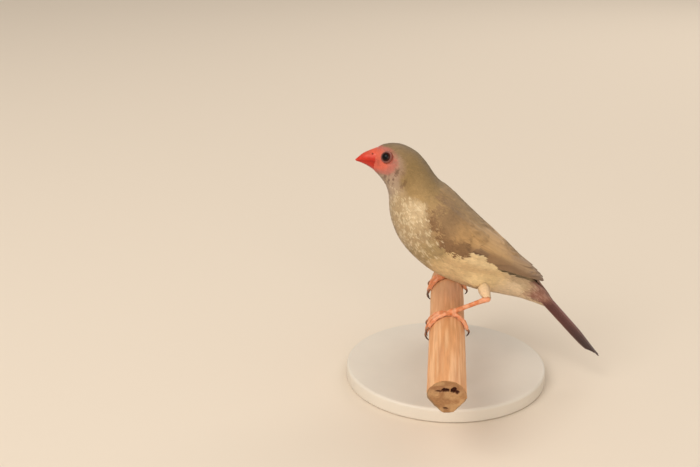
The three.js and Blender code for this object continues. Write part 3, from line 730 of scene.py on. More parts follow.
class Plumage:
    """Collects feathers and makes them into one mesh."""

    def __init__(self):
        self.parts = {}
        self.count = 0

    def add(self, template, points, paint, bake, scale, normals=None):
        """points, paint and normals are [feather, vertex, 3], and bake is each vertex's place in the
        map. Normals are given for soft feathers, which are shaded like the body they lie on."""
        feathers, vertices = points.shape[:2]
        shift = np.arange(feathers)[:, None, None] * vertices
        faces = [(template[kind] + shift).reshape(-1, template[kind].shape[1])
                 for kind in ("quads", "triangles")]
        _, (quads, corners) = outward(points.reshape(-1, 3), faces)
        vane = np.stack([template["u"], template["s"] * scale], -1)
        added = {
            "quads": quads + self.count, "corners": corners + self.count,
            "points": points.reshape(-1, 3), "paint": paint.reshape(-1, 3), "bake": bake.reshape(-1, 2),
            "vane": np.tile(vane, (feathers, 1)),
        }
        if normals is None:
            added["rim"] = np.tile(template["rim"], feathers)
        else:
            added["normals"] = normals.reshape(-1, 3)
        for key, values in added.items():
            self.parts.setdefault(key, []).append(values)
        self.count += feathers * vertices

    def piece(self, name, material):
        whole = {key: np.concatenate(values) for key, values in self.parts.items()}
        faces = [whole[kind] for kind in ("quads", "corners") if len(whole[kind])]
        maps = {"OFBake": whole["bake"], "vane": whole["vane"]}
        made = mesh_piece(name, whole["points"], faces, material, whole["paint"], maps)
        if "rim" in whole:
            crisp_rims(made.data, whole["rim"])
        else:
            made.data.normals_split_custom_set_from_vertices(whole["normals"].tolist())
        return made


def crisp_rims(mesh, rim):
    """Keeps the edges along the rim of each feather crisp, so that each face is shaded by itself."""
    ends = np.empty(len(mesh.edges) * 2, np.int32)
    mesh.edges.foreach_get("vertices", ends)
    crisp = rim[ends[0::2]] & rim[ends[1::2]]
    attribute = mesh.attributes.new("sharp_edge", "BOOLEAN", "EDGE")
    attribute.data.foreach_set("value", crisp)


def frames(surface, place, turn, angle=0.0):
    """Steps in place and turn for one millimetre ahead and one across, for feathers at an angle,
    with the millimetres to a section and to a radian."""
    step_place = 0.02
    step_turn = 0.03
    ahead = (surface(place + step_place, turn) - surface(place - step_place, turn)) / (2 * step_place)
    round_ = (surface(place, turn + step_turn) - surface(place, turn - step_turn)) / (2 * step_turn)
    length = np.linalg.norm(ahead, axis=-1)
    way = ahead / length[..., None]
    shear = dot(round_, way)
    across = np.linalg.norm(round_ - shear[..., None] * way, axis=-1)
    ahead_steps = np.stack([1 / length, np.zeros_like(length)], -1)
    across_steps = np.stack([-shear / length / across, 1 / across], -1)
    c = np.cos(angle)[..., None]
    s = np.sin(angle)[..., None]
    return ahead_steps * c + across_steps * s, across_steps * c - ahead_steps * s, length, across


def surface_normals(surface, place, turn):
    """The ways a surface faces, outwards, and the ways ahead along it."""
    place = np.minimum(place, LAST - 0.02)
    here = surface(place, turn)
    ahead = surface(place + 0.01, turn) - here
    normal = unit(np.cross(ahead, surface(place, turn + 0.01) - here))
    outwards = np.sign(dot(normal, surface(place, turn, 0.1) - here))[..., None]
    return normal * outwards, unit(ahead)


def tuft_points(surface, place, turn, angle, length, half, low, high, template, rng):
    """Points and normals of small feathers rooted at places and turns, [feather, vertex, 3]."""
    ahead, across, _, _ = frames(surface, place, turn, angle)
    s = template["s"]
    u = template["u"]
    barb = template["barb"]
    longer, aside, lifted = (rng.normal(0, spread, (len(place), barb.max() + 1))[:, barb]
                             for spread in (0.07, 0.13, 0.012))
    half = half[:, None]
    reach = s * (1 + longer) * length[:, None]
    width = (u + aside * s) * half * (0.55 + 0.45 * smooth(0, 0.5, s))
    p = place[:, None] + reach * ahead[:, None, 0] + width * across[:, None, 0]
    t = turn[:, None] + reach * ahead[:, None, 1] + width * across[:, None, 1]
    height = low[:, None] + (high - low)[:, None] * s ** 0.85 + lifted * s - 0.09 * half * u * u
    points = surface(p, t, height - KEEL_DEPTH * template["under"])
    normal, lie = surface_normals(surface, p, t)
    beside = np.cross(normal, lie)
    normal = normal + lie * (TUFT_ROUNDING * (s - 0.45))[..., None]
    normal = normal + beside * (TUFT_ROUNDING * u + BARB_ROUNDING * template["leans"])[..., None]
    return points, unit(normal)


ROW_JITTER = 0.35


def rows_on(surface, start, end, spacing_at, rng):
    """Roots in staggered rows: places and turns, with rows thinned where the sections crowd."""
    places, turns = [], []
    place = start
    ring = circle(72, -math.pi)
    while place < end:
        _, _, length, across = frames(surface, np.full_like(ring, place), ring)
        step = spacing_at(place) / length.max()
        count = max(int(across.mean() * 2 * math.pi / spacing_at(place)), 5)
        staggered = np.arange(count) + 0.5 * (len(places) % 2)
        turn = (staggered + rng.uniform(-ROW_JITTER, ROW_JITTER, count)) / count * 2 * math.pi - math.pi
        local = np.interp(turn, ring, length, period=2 * math.pi) / length.max()
        turn = turn[rng.random(count) < local + 0.15]
        places.append(place + rng.uniform(-ROW_JITTER, ROW_JITTER, len(turn)) * step)
        turns.append(turn)
        place += step
    return np.concatenate(places), np.concatenate(turns)


# Where the coat's patches lie in the bake map, and half of how wide and all of how long one is
BAKE_MARGIN = 0.03
BAKE_REACH = 0.94
PATCH_HALF_WIDTH = 0.0013
PATCH_LENGTH = 0.003


def bake_patch(place, turn, template):
    """Each feather's patch at its root's place on the unrolled skin, about 0.003 across."""
    root_u = BAKE_MARGIN + BAKE_REACH * ((turn / (2 * math.pi)) % 1.0)
    root_v = BAKE_MARGIN + BAKE_REACH * place / LAST
    return np.stack([root_u[:, None] + template["u"] * PATCH_HALF_WIDTH,
                     root_v[:, None] + (template["s"] - 0.5) * PATCH_LENGTH], -1)


SPOTTED_SHARE = 0.3


def paint_tufts(place, turn, length, template, rng, scheme):
    """Each feather takes the scheme's colour near its tip, with its own tone, painted shade towards its
    root, a paler edge and a pale spot.
    """
    ahead, _, _, _ = frames(body, place, turn)
    tip_place = np.clip(place + ahead[:, 0] * length * 0.75, 0, LAST)
    tone, spots, spot_colour = scheme(tip_place, turn)
    tone = tone * (1 + rng.normal(0, 0.04, len(place)))[:, None]
    s = template["s"]
    barb = template["barb"]
    factor = 1 + rng.normal(0, 0.03, (len(place), barb.max() + 1))[:, barb]
    # Darker towards the root, as painted shade under the feathers that overlap it, and a little paler at
    # the tip
    factor = factor * (1 - 0.12 * (1 - smooth(0.1, 0.7, s)) + 0.07 * smooth(0.75, 1, s))
    chosen = rng.random(len(place)) < SPOTTED_SHARE * spots
    spot = smooth(0.7, 0.86, s) * smooth(0.7, 0.3, np.abs(template["u"])) * chosen[:, None]
    return mix(tone[:, None] * factor[..., None], spot_colour[:, None], spot * 0.65)


EYE_CLEAR = 1.95


def eye_centre(side):
    low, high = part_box(f"eye_{SIDES[side]}")
    return np.array((low + high) / 2) / MM


def clear_of_eyes(points):
    """Which feathers keep their whole length off both eyes."""
    keep = np.ones(len(points), bool)
    for side in SIDES:
        x, y, z = eye_centre(side)
        near = np.hypot(points[..., 0] - x, points[..., 2] - z) < EYE_CLEAR
        keep &= ~np.any(near & (points[..., 1] * y > 0), axis=-1)
    return keep


FACE_TUFT = tuft_template(3, blade=0.34)
HEAD_TUFT = tuft_template(5, blade=0.3)
BODY_TUFT = tuft_template(9, blade=0.19)


# Where the coat begins behind the bill, as [degrees, section], and how many degrees inside the wing it
# is still rooted, as [section, degrees]
BILL_EDGE = np.array([[-90, 3.1], [-50, 2.85], [-20, 2.95], [0, 3.1], [20, 2.82], [40, 2.78], [60, 2.95],
                      [80, 3.15], [90, 3.2]])
ROOTED_WITHIN = np.array([[9.9, 16], [11.2, 8], [12, -2], [12.6, 0], [13.1, 3.5], [13.5, 6], [13.9, 6.8],
                          [14.3, 4.5], [14.7, -2], [15.1, -8], [16.5, -8]])


def in_coat(place, side):
    """Where the coat's feathers are rooted: behind the bill, off the wing or some degrees in over its
    edge, and between the wings."""
    off_wing = (inside_wing(place, side) < table(ROOTED_WITHIN, place)) | (side > 80)
    return off_wing & (place > table(BILL_EDGE, side))


def on_shoulder(place, side):
    """Where the wing's lesser and median coverts are rooted."""
    return (inside_wing(place, side) > -3) & (side < 66) & (place < 13.1 - side * 0.025)


def on_scapulars(place, side):
    """Where the feathers that cover the wing's inner edge are rooted."""
    return (side > 46) & ((place < 13.2) | (side > 74))


FLANK_LEAN = np.radians(22)


def small_feathers(name, start, end, template, material, seed, density,
                   chosen=in_coat, scheme=markings, above=0.0):
    """The small feathers of one stretch of the body, where chosen says, over both sides."""
    rng = np.random.default_rng(seed)

    def spacing_at(place):
        return along(FEATHER_LENGTH, place) * EXPOSED_SHARE / density

    place, turn = rows_on(body, start, end, spacing_at, rng)
    keep = chosen(place, height_on_side(turn))
    place, turn = place[keep], turn[keep]
    side = height_on_side(turn)
    flank = between(place, 11.8, 12.8, 14.8, 16) * between(side, -45, -15, 30, 50)
    covert = smooth(17, 18.3, place) * smooth(0, 30, side)
    angle = (FLANK_LEAN * flank + rng.normal(0, 0.07, len(place))) * np.sign(np.cos(turn))
    usual = along(FEATHER_LENGTH, place)
    length = usual * rng.uniform(0.88, 1.12, len(place)) * (1 + 0.3 * flank + 0.35 * covert)
    half = usual * WIDTH_SHARE * rng.uniform(0.85, 1.1, len(place))
    high = rng.uniform(-0.04, 0.05, len(place)) + above
    low = -0.42 * along(COAT_DEPTH, place) + above / 2
    points, normals = tuft_points(coat_surface, place, turn, angle, length, half, low, high,
                                  template, rng)
    paint = paint_tufts(place, turn, length, template, rng, scheme)
    clear = clear_of_eyes(points)
    plumage = Plumage()
    plumage.add(template, points[clear], paint[clear], bake_patch(place, turn, template)[clear],
                VANE_STEPS["coat"], normals[clear])
    return plumage.piece(name, material)


# Wings

LONG_STOPS = np.concatenate([np.linspace(0, 0.8, 15), np.linspace(0.84, 0.96, 5), [0.985, 1]])
SHORT_STOPS = np.concatenate([np.linspace(0, 0.75, 8), [0.85, 0.92, 0.97, 1]])
VANE_COLUMNS = np.array([-1, -0.82, -0.6, -0.36, -0.14, -0.05, 0, 0.05, 0.14, 0.36, 0.6, 0.82, 1])
LONG_VANE = vane_template(LONG_STOPS, VANE_COLUMNS)
SHORT_VANE = vane_template(SHORT_STOPS, VANE_COLUMNS)
RISE_RATE = 1.6
TIP_LIFTS_FROM = 0.6
VANE_THICKNESS = 0.09

# Roots and tips are [section, degrees], heights are over the body, bow bends a feather towards the
# belly, rise lifts each feather of a tier over the last one, and tip_up lifts its free end
WING_TIERS = [
    {"count": 9, "root": ((12.8, 14), (13.2, 34)), "tip": ((17.3, 69), (17.2, 86)), "tip_curve": 1.0,
     "bow": (13, 1), "half": 1.75, "blunt": 0.0, "heights": (0.55, 1.25), "rise": 0.07, "tip_up": 1.2,
     "vane": LONG_VANE, "colours": ("primary", "primary_edge", "wing_tip")},
    {"count": 7, "root": ((12.4, 24), (12.4, 48)), "tip": ((15.5, 44), (17.1, 77)),
     "bow": (5, 5), "half": 2.0, "blunt": 0.1, "heights": (0.7, 1.45), "rise": 0.05,
     "vane": LONG_VANE, "colours": ("wing", "wing_fringe", "primary_edge")},
    {"count": 4, "root": ((12.2, 46), (12.0, 66)), "tip": ((16.2, 68), (14.9, 82)),
     "bow": (2, 2), "half": 2.5, "blunt": 0.5, "heights": (0.8, 1.7), "rise": 0.06,
     "vane": LONG_VANE, "colours": ("wing", "wing_fringe", "wing_fringe")},
    {"count": 5, "root": ((12.2, 11), (12.3, 22)), "tip": ((14.8, 26), (14.6, 36)),
     "bow": (2, 2), "half": 1.2, "blunt": 0.15, "heights": (0.7, 1.3), "rise": 0.05,
     "vane": SHORT_VANE, "colours": ("primary", "wing_shade_and_dark_edge", "primary_edge")},
    {"count": 10, "root": ((11.1, 13), (11.2, 58)), "tip": ((13.6, 20), (13.7, 66)), "tip_curve": 0.15,
     "bow": (2, 2), "half": 1.5, "blunt": 0.3, "heights": (0.6, 1.4), "rise": 0.04,
     "vane": SHORT_VANE, "colours": ("wing", "wing_fringe", "wing_fringe")},
]

# The upper edge of the band of painted shade along the folded wing's lower edge, as [section, degrees]
WING_SHADED = np.array([[9.9, 30], [11.4, 14], [12.4, 15], [13.2, 25], [14.4, 39], [15.15, 44], [16, 47],
                        [17, 52], [18.4, 80]])


def wing_markings(place, turn):
    """The wing's colour: warm buff-brown, with painted shade along its lower edge, and greyer at the
    bend.
    """
    side = height_on_side(turn)
    wobble = (noise_at(body(place, turn), 2.6) - 0.5) * 2
    shaded = smooth(8, -8, side + wobble * 3 - table(WING_SHADED, place))
    tone = layers(
        "wing_bend",
        ("wing", smooth(11.2, 13.2, place + wobble * 0.3)),
        ("wing_end", smooth(14.6, 16.6, place + wobble * 0.2)),
        # Painted shade along the wing's lower edge
        ("wing_shade_and_dark_edge", shaded * 0.85),
        ("mantle", smooth(52, 70, side) * smooth(14.5, 12.5, place)))
    return tone, np.zeros_like(side), tone


def frayed(template, depth, rng):
    """What is left of a long feather's width where its edge is frayed."""
    s = template["s"]
    notches = rng.random(64)[(s * 63).astype(int)]
    return 1 - depth * notches * np.abs(template["u"]) ** 6 * smooth(0.3, 0.5, s)


def vane_half(s, half, blunt):
    """Half a long feather's width along it: narrow at the root and round at the tip."""
    ending = np.clip((s - 0.55) / 0.45, 0, 1)
    return half * np.minimum(0.45 + 2.2 * s, 1) * np.sqrt(np.maximum(1 - ending ** 4, 0)) + blunt * s


def long_feather(root, tip, bow, tier, heights, rng):
    """Points of one broad feather that lies along the body's left side, with their places and turns."""
    s = tier["vane"]["s"]
    u = tier["vane"]["u"]
    left = frayed(tier["vane"], 0.025, rng)
    step = 1e-3

    def path(t):
        bend = bow * 4 * t * (1 - t)
        return np.stack([lerp(root[0], tip[0], t), np.radians(lerp(root[1], tip[1], t) - bend)], -1)

    place, turn = path(s).T
    pace = (path(s + step) - path(s - step)) / (2 * step)
    by_place = (body(place + step, turn) - body(place - step, turn)) / (2 * step)
    by_turn = (body(place, turn + 0.02) - body(place, turn - 0.02)) / 0.04
    ahead = by_place * pace[:, :1] + by_turn * pace[:, 1:]
    across = unit(np.cross(np.cross(by_place, by_turn), ahead))
    e, f, g = dot(by_place, by_place), dot(by_place, by_turn), dot(by_turn, by_turn)
    along_place, along_turn = dot(across, by_place), dot(across, by_turn)
    width = u * vane_half(s, tier["half"] * rng.uniform(0.95, 1.05), tier["blunt"]) * left
    place = place + (g * along_place - f * along_turn) / (e * g - f * f) * width
    turn = turn + (e * along_turn - f * along_place) / (e * g - f * f) * width
    free = np.maximum(s - TIP_LIFTS_FROM, 0) / (1 - TIP_LIFTS_FROM)
    height = lerp(*heights, np.minimum(RISE_RATE * s, 1)) + tier.get("tip_up", 0) * free ** 2
    height = height - 0.1 * u * u - 0.35 * smooth(0.2, 1, u) + 0.03 * hump(u, 0.06) * (1 - s)
    height = height * over_back(turn) - VANE_THICKNESS * tier["vane"]["under"]
    return body(place, turn, height), place, turn


def paint_vane(tier, place, turn, rng):
    """A long feather's colours: the wing's own, with a shaft, a paler edge and a tip."""
    s = tier["vane"]["s"]
    u = tier["vane"]["u"]
    inner, edge, tip = tier["colours"]
    tone = layers(
        inner,
        (edge, np.clip(smooth(0.4, 1.0, -u) + 0.35 * smooth(0.7, 1, u), 0, 1)),
        (tip, smooth(0.9, 1, s) * 0.8))
    tone = tone * wing_markings(place, turn)[0] / PALETTE["wing"]
    tone = mix(tone, "shaft", hump(u, 0.05) * 0.35 * (1 - 0.6 * s))
    streaks = rng.normal(0, 1, 3)
    factor = 1 + 0.025 * (np.sin(s * 40 + streaks[0]) + np.sin(u * 7 + streaks[1]) + streaks[2])
    return tone * (factor * (1 - 0.1 * smooth(0.35, 1, u) * smooth(0.2, 0.5, s)))[:, None]


def cell_patch(template, number, cells):
    """A long feather's own cell of the map, which is some cells wide."""
    cell = np.array([number % cells, number // cells])
    return (cell + 0.5 + 0.42 * np.stack([template["u"], 2 * template["s"] - 1], -1)) / cells


def wing_piece(side, material):
    """The folded wing's flight feathers and coverts, tier by tier, each in its own cell of the map."""
    rng = np.random.default_rng(SEED + (20 if side > 0 else 40))
    cells = math.ceil(math.sqrt(sum(tier["count"] for tier in WING_TIERS)))
    plumage = Plumage()
    number = 0
    for tier in WING_TIERS:
        low, high = tier["heights"]
        for k in range(tier["count"]):
            share = k / (tier["count"] - 1)
            root = lerp(*np.array(tier["root"]), share)
            tip = lerp(*np.array(tier["tip"]), share) + rng.normal(0, (0.03, 0.4))
            tip = tip + (tier.get("tip_curve", 0) * 4 * share * (1 - share), 0)
            lift = tier["rise"] * k
            heights = (low + lift / 2, high + lift)
            points, place, turn = long_feather(root, tip, lerp(*tier["bow"], share), tier, heights, rng)
            points[:, 1] *= side
            paint = paint_vane(tier, place, turn, rng)
            patch = cell_patch(tier["vane"], number, cells)
            plumage.add(tier["vane"], points[None], paint, patch, VANE_STEPS["wing"])
            number += 1
    return plumage.piece(f"wing_feathers_{SIDES[side]}", material)


# Tail

TAIL = {"root": (29.6, 7.7), "tip": (55.2, -20.6), "pairs": 6, "length": 38.1, "shorter": 5.6,
        "shortening": 0.6, "middle": 0.7, "spread": (0.8, 1.7), "drop": 2.3, "roll": 16, "half": 1.8,
        "bend": 0.7, "thick": 0.14}


def tail_feather(k, side, rng):
    """One tail feather: k counts pairs from the middle, which lie on top."""
    share = k / (TAIL["pairs"] - 1)
    s = LONG_VANE["s"]
    u = LONG_VANE["u"]
    ahead = unit(np.array([TAIL["tip"][0] - TAIL["root"][0], 0, TAIL["tip"][1] - TAIL["root"][1]]))
    up = np.array([-ahead[2], 0, ahead[0]])
    out = np.array([0, -side, 0])
    roll = math.radians(TAIL["roll"] * lerp(0.4, 1, share))
    across = out * math.cos(roll) - up * math.sin(roll)
    over = up * math.cos(roll) + out * math.sin(roll)
    length = TAIL["length"] - TAIL["shorter"] * share ** TAIL["shortening"]
    sideways = TAIL["middle"] + lerp(*TAIL["spread"], s) * share
    drop = TAIL["drop"] * share * (1 - 0.25 * s) + TAIL["bend"] * (1 - share) * smooth(0.65, 1, s)
    root = np.array([TAIL["root"][0], 0, TAIL["root"][1] + PERCH_TOP])
    narrower, blunt = (0.8, 0.15) if k == 0 else (1, 0.35)
    half = vane_half(s, TAIL["half"] * narrower, blunt) * frayed(LONG_VANE, 0.07, rng)
    height = 0.1 * (1 - k / TAIL["pairs"]) - 0.18 * u * u - TAIL["thick"] * LONG_VANE["under"]
    height = height + 0.07 * hump(u, 0.06) * (1 - s)
    return (root + ahead * (length * s)[:, None] + out * sideways[:, None] - up * drop[:, None]
            + across * (half * u)[:, None] + over * height[:, None])


def tail_piece(material):
    rng = np.random.default_rng(SEED + 100)
    s = LONG_VANE["s"]
    u = LONG_VANE["u"]
    plumage = Plumage()
    for number in range(2 * TAIL["pairs"]):
        k = TAIL["pairs"] - 1 - number // 2
        points = tail_feather(k, (1, -1)[number % 2], rng)
        tone = layers(
            "tail",
            ("tail_end", smooth(0.45, 0.95, s)),
            ("tail_edge", smooth(0.6, 1.0, u) * (0.7 if k == TAIL["pairs"] - 1 else 0.12)),
            ("tail_end", hump(u, 0.05) * 0.5))
        tone = tone * (1 + 0.03 * np.sin(s * 55 + k))[:, None]
        patch = cell_patch(LONG_VANE, number, 4)
        plumage.add(LONG_VANE, points[None], tone, patch, VANE_STEPS["tail"])
    return plumage.piece("tail_feathers", material)


THIGH_SPACING = 0.42


def thigh_coat(material):
    """Soft feathers down each thigh to the ankle."""
    rng = np.random.default_rng(SEED + 120)
    plumage = Plumage()
    for side in SIDES:
        surface = thigh(side)
        place, turn = rows_on(surface, 0.25, 0.95, lambda place: THIGH_SPACING, rng)
        count = len(place)
        length = rng.uniform(1.6, 2.3, count) * lerp(1.2, 0.5, place)
        high = rng.uniform(-0.05, 0.12, count)
        low = np.full(count, -0.2)
        angle = rng.normal(0, 0.1, count)
        points, normals = tuft_points(surface, place, turn, angle, length, length * 0.25, low, high,
                                      HEAD_TUFT, rng)
        tone = mix("belly", "thigh", smooth(0.0, 0.45, place))
        tone = tone * (1 + rng.normal(0, 0.04, count))[:, None]
        shade = 1 - 0.1 * (1 - smooth(0.1, 0.7, HEAD_TUFT["s"]))
        bake = bake_patch(place * 3 + (2 if side > 0 else 8), turn, HEAD_TUFT)
        plumage.add(HEAD_TUFT, points, tone[:, None] * shade[:, None], bake, VANE_STEPS["coat"], normals)
    return plumage.piece("coat_thighs", material)


# Bill

BILL = {"ends": 3.5, "rows": 80, "round": 90, "across": 12, "overhang": 0.07, "inset": 0.13,
        "lower_starts": 0.12, "culmen": 0.13, "tip_spacing": 1.4, "sinks": 0.4}


def mouth_turn(place):
    """The turn on the left side at which the bill's surface meets the line of the mouth."""
    low = np.full_like(place, -math.pi / 2)
    high = np.full_like(place, math.pi / 2)
    for _ in range(40):
        middle = (low + high) / 2
        point = body(place, middle)
        above = point[..., 2] - PERCH_TOP > table(MOUTH_LINE, point[..., 0])
        high = np.where(above, middle, high)
        low = np.where(above, low, middle)
    return middle


def with_nostrils(points, paint):
    """The upper half's points and colours, with a pit painted dark as shade and a low rim on both sides.
    """
    x, y, z = NOSTRIL["at"]
    for side in SIDES:
        away = np.linalg.norm((points - (x, side * y, z + PERCH_TOP)) * (0.75, 0.6, 1.0), axis=-1)
        pit = smooth(NOSTRIL["radius"], 0.35 * NOSTRIL["radius"], away)
        rim = hump(away, 0.14, 1.25 * NOSTRIL["radius"])
        points = points + (pit * NOSTRIL["depth"] - 0.05 * rim)[..., None] * (0, -side, 0)
        # The pit is painted dark: painted shade in the nostril
        paint = mix(paint, "nostril_shade", pit)
    return points, paint


def mouth_lining(points, place, sign):
    """Points across the open side of a half of the bill, hollow in the middle."""
    across = np.linspace(0, 1, BILL["across"] + 2)[1:-1]
    left, right = points[:, :1], points[:, -1:]
    inner = lerp(right, left, across[:, None])
    hollow = 0.25 * sign * (1 - (2 * across - 1) ** 2) * np.linalg.norm(left - right, axis=-1)
    inner[..., 2] += hollow * smooth(0.3, 1.5, place)
    return inner


def bill_half(name, upper, material):
    """The upper or the lower half of the bill, from its tip to under the feathers."""
    sign = 1 if upper else -1
    start = 0.0 if upper else BILL["lower_starts"]
    place = lerp(start, BILL["ends"], np.linspace(0, 1, BILL["rows"]) ** BILL["tip_spacing"])[:, None]
    edge = mouth_turn(place) + (-1 if upper else -2) * BILL["overhang"] * smooth(0, 1.2, place) / 3
    arc = np.linspace(0, 1, BILL["round"])
    turn = edge + (sign * math.pi - 2 * edge) * arc
    from_middle = np.abs(turn - sign * math.pi / 2)
    near_edge = hump(np.minimum(arc, 1 - arc), 0.09)
    if upper:
        lift = BILL["culmen"] * hump(from_middle, 0.28) * smooth(0.2, 1.2, place) + 0.05 * near_edge
        # Lighter along the ridge of the upper half: a painted highlight from light above
        paint = mix("bill", "bill_top_highlight", smooth(0.2, 2.6, place) * smooth(1.5, 0.5, from_middle))
    else:
        lift = -BILL["inset"] * near_edge * smooth(0, 1, place) - 0.05
        # The lower half is a deeper red, and darker still towards its underside as painted shade
        paint = mix("bill", "bill_deep_red_and_shade", 0.35 + 0.5 * smooth(1.1, 0.2, from_middle))
    points = body(place, turn, lift - BILL["sinks"] * smooth(3.02, 3.3, place))
    # A paler tip, and a darker strip along the mouth's edges as painted shade
    paint = layers(paint, ("bill_tip", smooth(0.5, 0.0, place) * 0.35), ("bill_deep_red_and_shade", near_edge * 0.45))
    if upper:
        points, paint = with_nostrils(points, paint)
    inner = mouth_lining(points, place, sign)
    # The lining between the halves is darker still: painted shade
    inner_paint = np.broadcast_to(PALETTE["bill_deep_red_and_shade"] * 0.5, inner.shape)
    tones = tube_tones(np.concatenate([paint, inner_paint], 1))
    return mesh_piece(name, *outward(*tube(np.concatenate([points, inner], 1))), material, tones)


def horn_material(name, roughness, stretch):
    """Smooth horn with fine growth lines."""
    look = Look(name, Roughness=roughness, Specular_IOR_Level=0.35, Coat_Weight=0.12, Coat_Roughness=0.2,
                Subsurface_Weight=0.08, Subsurface_Scale=0.0006)
    lines = look.noise(2600.0, stretch=stretch)
    look.paint(look.ranged(look.noise(500.0), 0.9, 1.08), look.ranged(lines, 0.93, 1.05))
    look.feed("Roughness", look.ranged(lines, roughness - 0.06, roughness + 0.1))
    look.bump(lines, 0.18, 0.00005)
    return look.material


# Eyes

EYE = {"radius": 2.05, "place": 4.70, "turn": 19, "pupil": 31, "iris": 50, "bulge": 0.03}
LID = {"from": 47, "to": 78, "beads": 30, "bead": 0.035, "thick": 0.26, "long": 1.05}


def eye_frame(side):
    """The eye's centre and the ways it looks: out of the head, forwards and up."""
    step = 1e-3
    turn = np.radians(EYE["turn"] if side > 0 else 180 - EYE["turn"])
    ahead = body(EYE["place"] + step, turn) - body(EYE["place"] - step, turn)
    round_ = body(EYE["place"], turn + step) - body(EYE["place"], turn - step)
    out = unit(np.cross(ahead, round_))
    out = out * (1 if out[1] * -side > 0 else -1)
    forward = unit(np.array([-1.0, 0, 0]) + out * out[0])
    return eye_centre(side), out, forward, np.cross(forward, out) * -side


def on_eye(side, angle, turn, height=0.0, long=1.0):
    """Points over the eyeball, by the angle from the way it looks and the turn round that."""
    centre, out, forward, up = eye_frame(side)
    angle, turn, height = np.broadcast_arrays(angle, turn, height)
    flat = round_about(forward * long, up, np.ones_like(turn), turn)
    ways = out * np.cos(angle)[..., None] + flat * np.sin(angle)[..., None]
    return centre + (EYE["radius"] + height)[..., None] * ways


def eyeball(side, material):
    angles = np.radians(np.concatenate([np.linspace(1, 56, 60), np.linspace(60, 179, 30)]))
    angle, turn = grid(angles, circle(96))
    degrees_out = np.degrees(angle)
    rings = on_eye(side, angle, turn, EYE["bulge"] * smooth(60, 0, degrees_out))
    fibres = 0.5 + 0.5 * np.sin(turn * 41 + 2 * np.sin(turn * 7))
    iris = mix("iris", "iris_light", fibres * smooth(EYE["pupil"], 44, degrees_out) * 0.6)
    paint = layers(
        "pupil",
        (iris, smooth(EYE["pupil"] - 1.5, EYE["pupil"] + 1.5, degrees_out)),
        ("pupil", smooth(EYE["iris"] - 4, EYE["iris"] + 3, degrees_out)))
    return mesh_piece(f"eyeball_{SIDES[side]}", *outward(*tube(rings)), material, tube_tones(paint))


def on_lid(turn, share):
    """How high the lid stands over the eyeball: a round beaded rim, then a slope to the skin."""
    beads = LID["bead"] * (0.5 + 0.5 * np.cos(turn * LID["beads"])) * hump(share, 0.12, 0.2)
    creases = 0.03 * np.sin(turn * 23 + 3 * np.sin(turn * 3)) * smooth(0.35, 0.6, share)
    rim = LID["thick"] * hump(share, 0.16, 0.2) * (1 + 0.25 * np.sin(turn))
    return rim + beads + 0.14 * smooth(0.25, 0.5, share) + creases - 0.02


def eyelids(side, material):
    """The beaded rim round the eye, thickest above, with creases running out from it."""
    turn, share = grid(circle(180), np.linspace(0, 1, 22))
    corner = 2.5 * np.abs(np.cos(turn)) ** 12
    angle = np.radians(lerp(LID["from"] - corner, LID["to"], share))
    top = on_eye(side, angle, turn, on_lid(turn, share), LID["long"])
    below = on_eye(side, angle[:, ::-1], turn, -0.3, LID["long"])
    points = np.concatenate([top, below], 1)
    tone = layers(
        "lid",
        ("lid_light", between(share, 0.1, 0.35, 0.4, 0.75) * 0.6),
        ("lores_skin", smooth(0.5, 1.0, share) * 0.6),
        ("pupil", smooth(0.08, 0.0, share) * 0.6))
    tones = np.concatenate([tone, tone], 1).reshape(-1, 3)
    form = outward(points.reshape(-1, 3), [ring_faces(*points.shape[:2], looped=True)])
    return mesh_piece(f"eyelids_{SIDES[side]}", *form, material, tones)


def eye_material():
    """A wet eye: a clear coat over a dark iris."""
    look = Look("eye", Roughness=0.3, Specular_IOR_Level=0.05, Coat_Weight=0.2, Coat_Roughness=0.03)
    look.paint(look.ranged(look.noise(4000.0), 0.8, 1.15))
    return look.material


# Legs and feet

# Each toe's reach round the perch in degrees, how far it turns aside along it, and its radius
TOES = [(88, 4.6, 0.72), (122, 0.6, 0.8), (92, -4.4, 0.72), (-98, 1.2, 0.82)]
TOE_SHAPE = np.array([1.2, 1.0, 0.92, 1.02, 0.88, 0.98, 0.84, 0.86, 0.78])
TARSUS_SHAPE = np.array([1.25, 1.0, 0.9, 0.9, 0.95, 1.15])
FLESH_ENDS = 0.8
CLAW_STARTS = 0.76
CLAW_ARCH = 0.85
CLAW_RINGS = (40, 20)
SCUTE = {"spacing": 0.95, "depth": 0.07, "reach": 1.35}
FOOT_VOXEL = 0.12


def from_upper_side(turn):
    return np.abs((turn + math.pi) % (2 * math.pi) - math.pi)


def scutes(turn, reach):
    """Overlapping plates on the upper side of a toe or a shank."""
    phase = (reach / SCUTE["spacing"]) % 1.0
    plates = smooth(0, 0.85, phase) - smooth(0.93, 1.0, phase)
    return SCUTE["depth"] * plates * smooth(SCUTE["reach"], 0.7, from_upper_side(turn))


def pads(turn, reach):
    """Plates above, and soft pads below."""
    pebbles = 0.03 * np.sin(reach * 12) * np.cos(turn * 9)
    soft = 0.1 * np.sin(reach * 1.9) + pebbles
    return scutes(turn, reach) + smooth(1.8, 2.7, from_upper_side(turn)) * soft


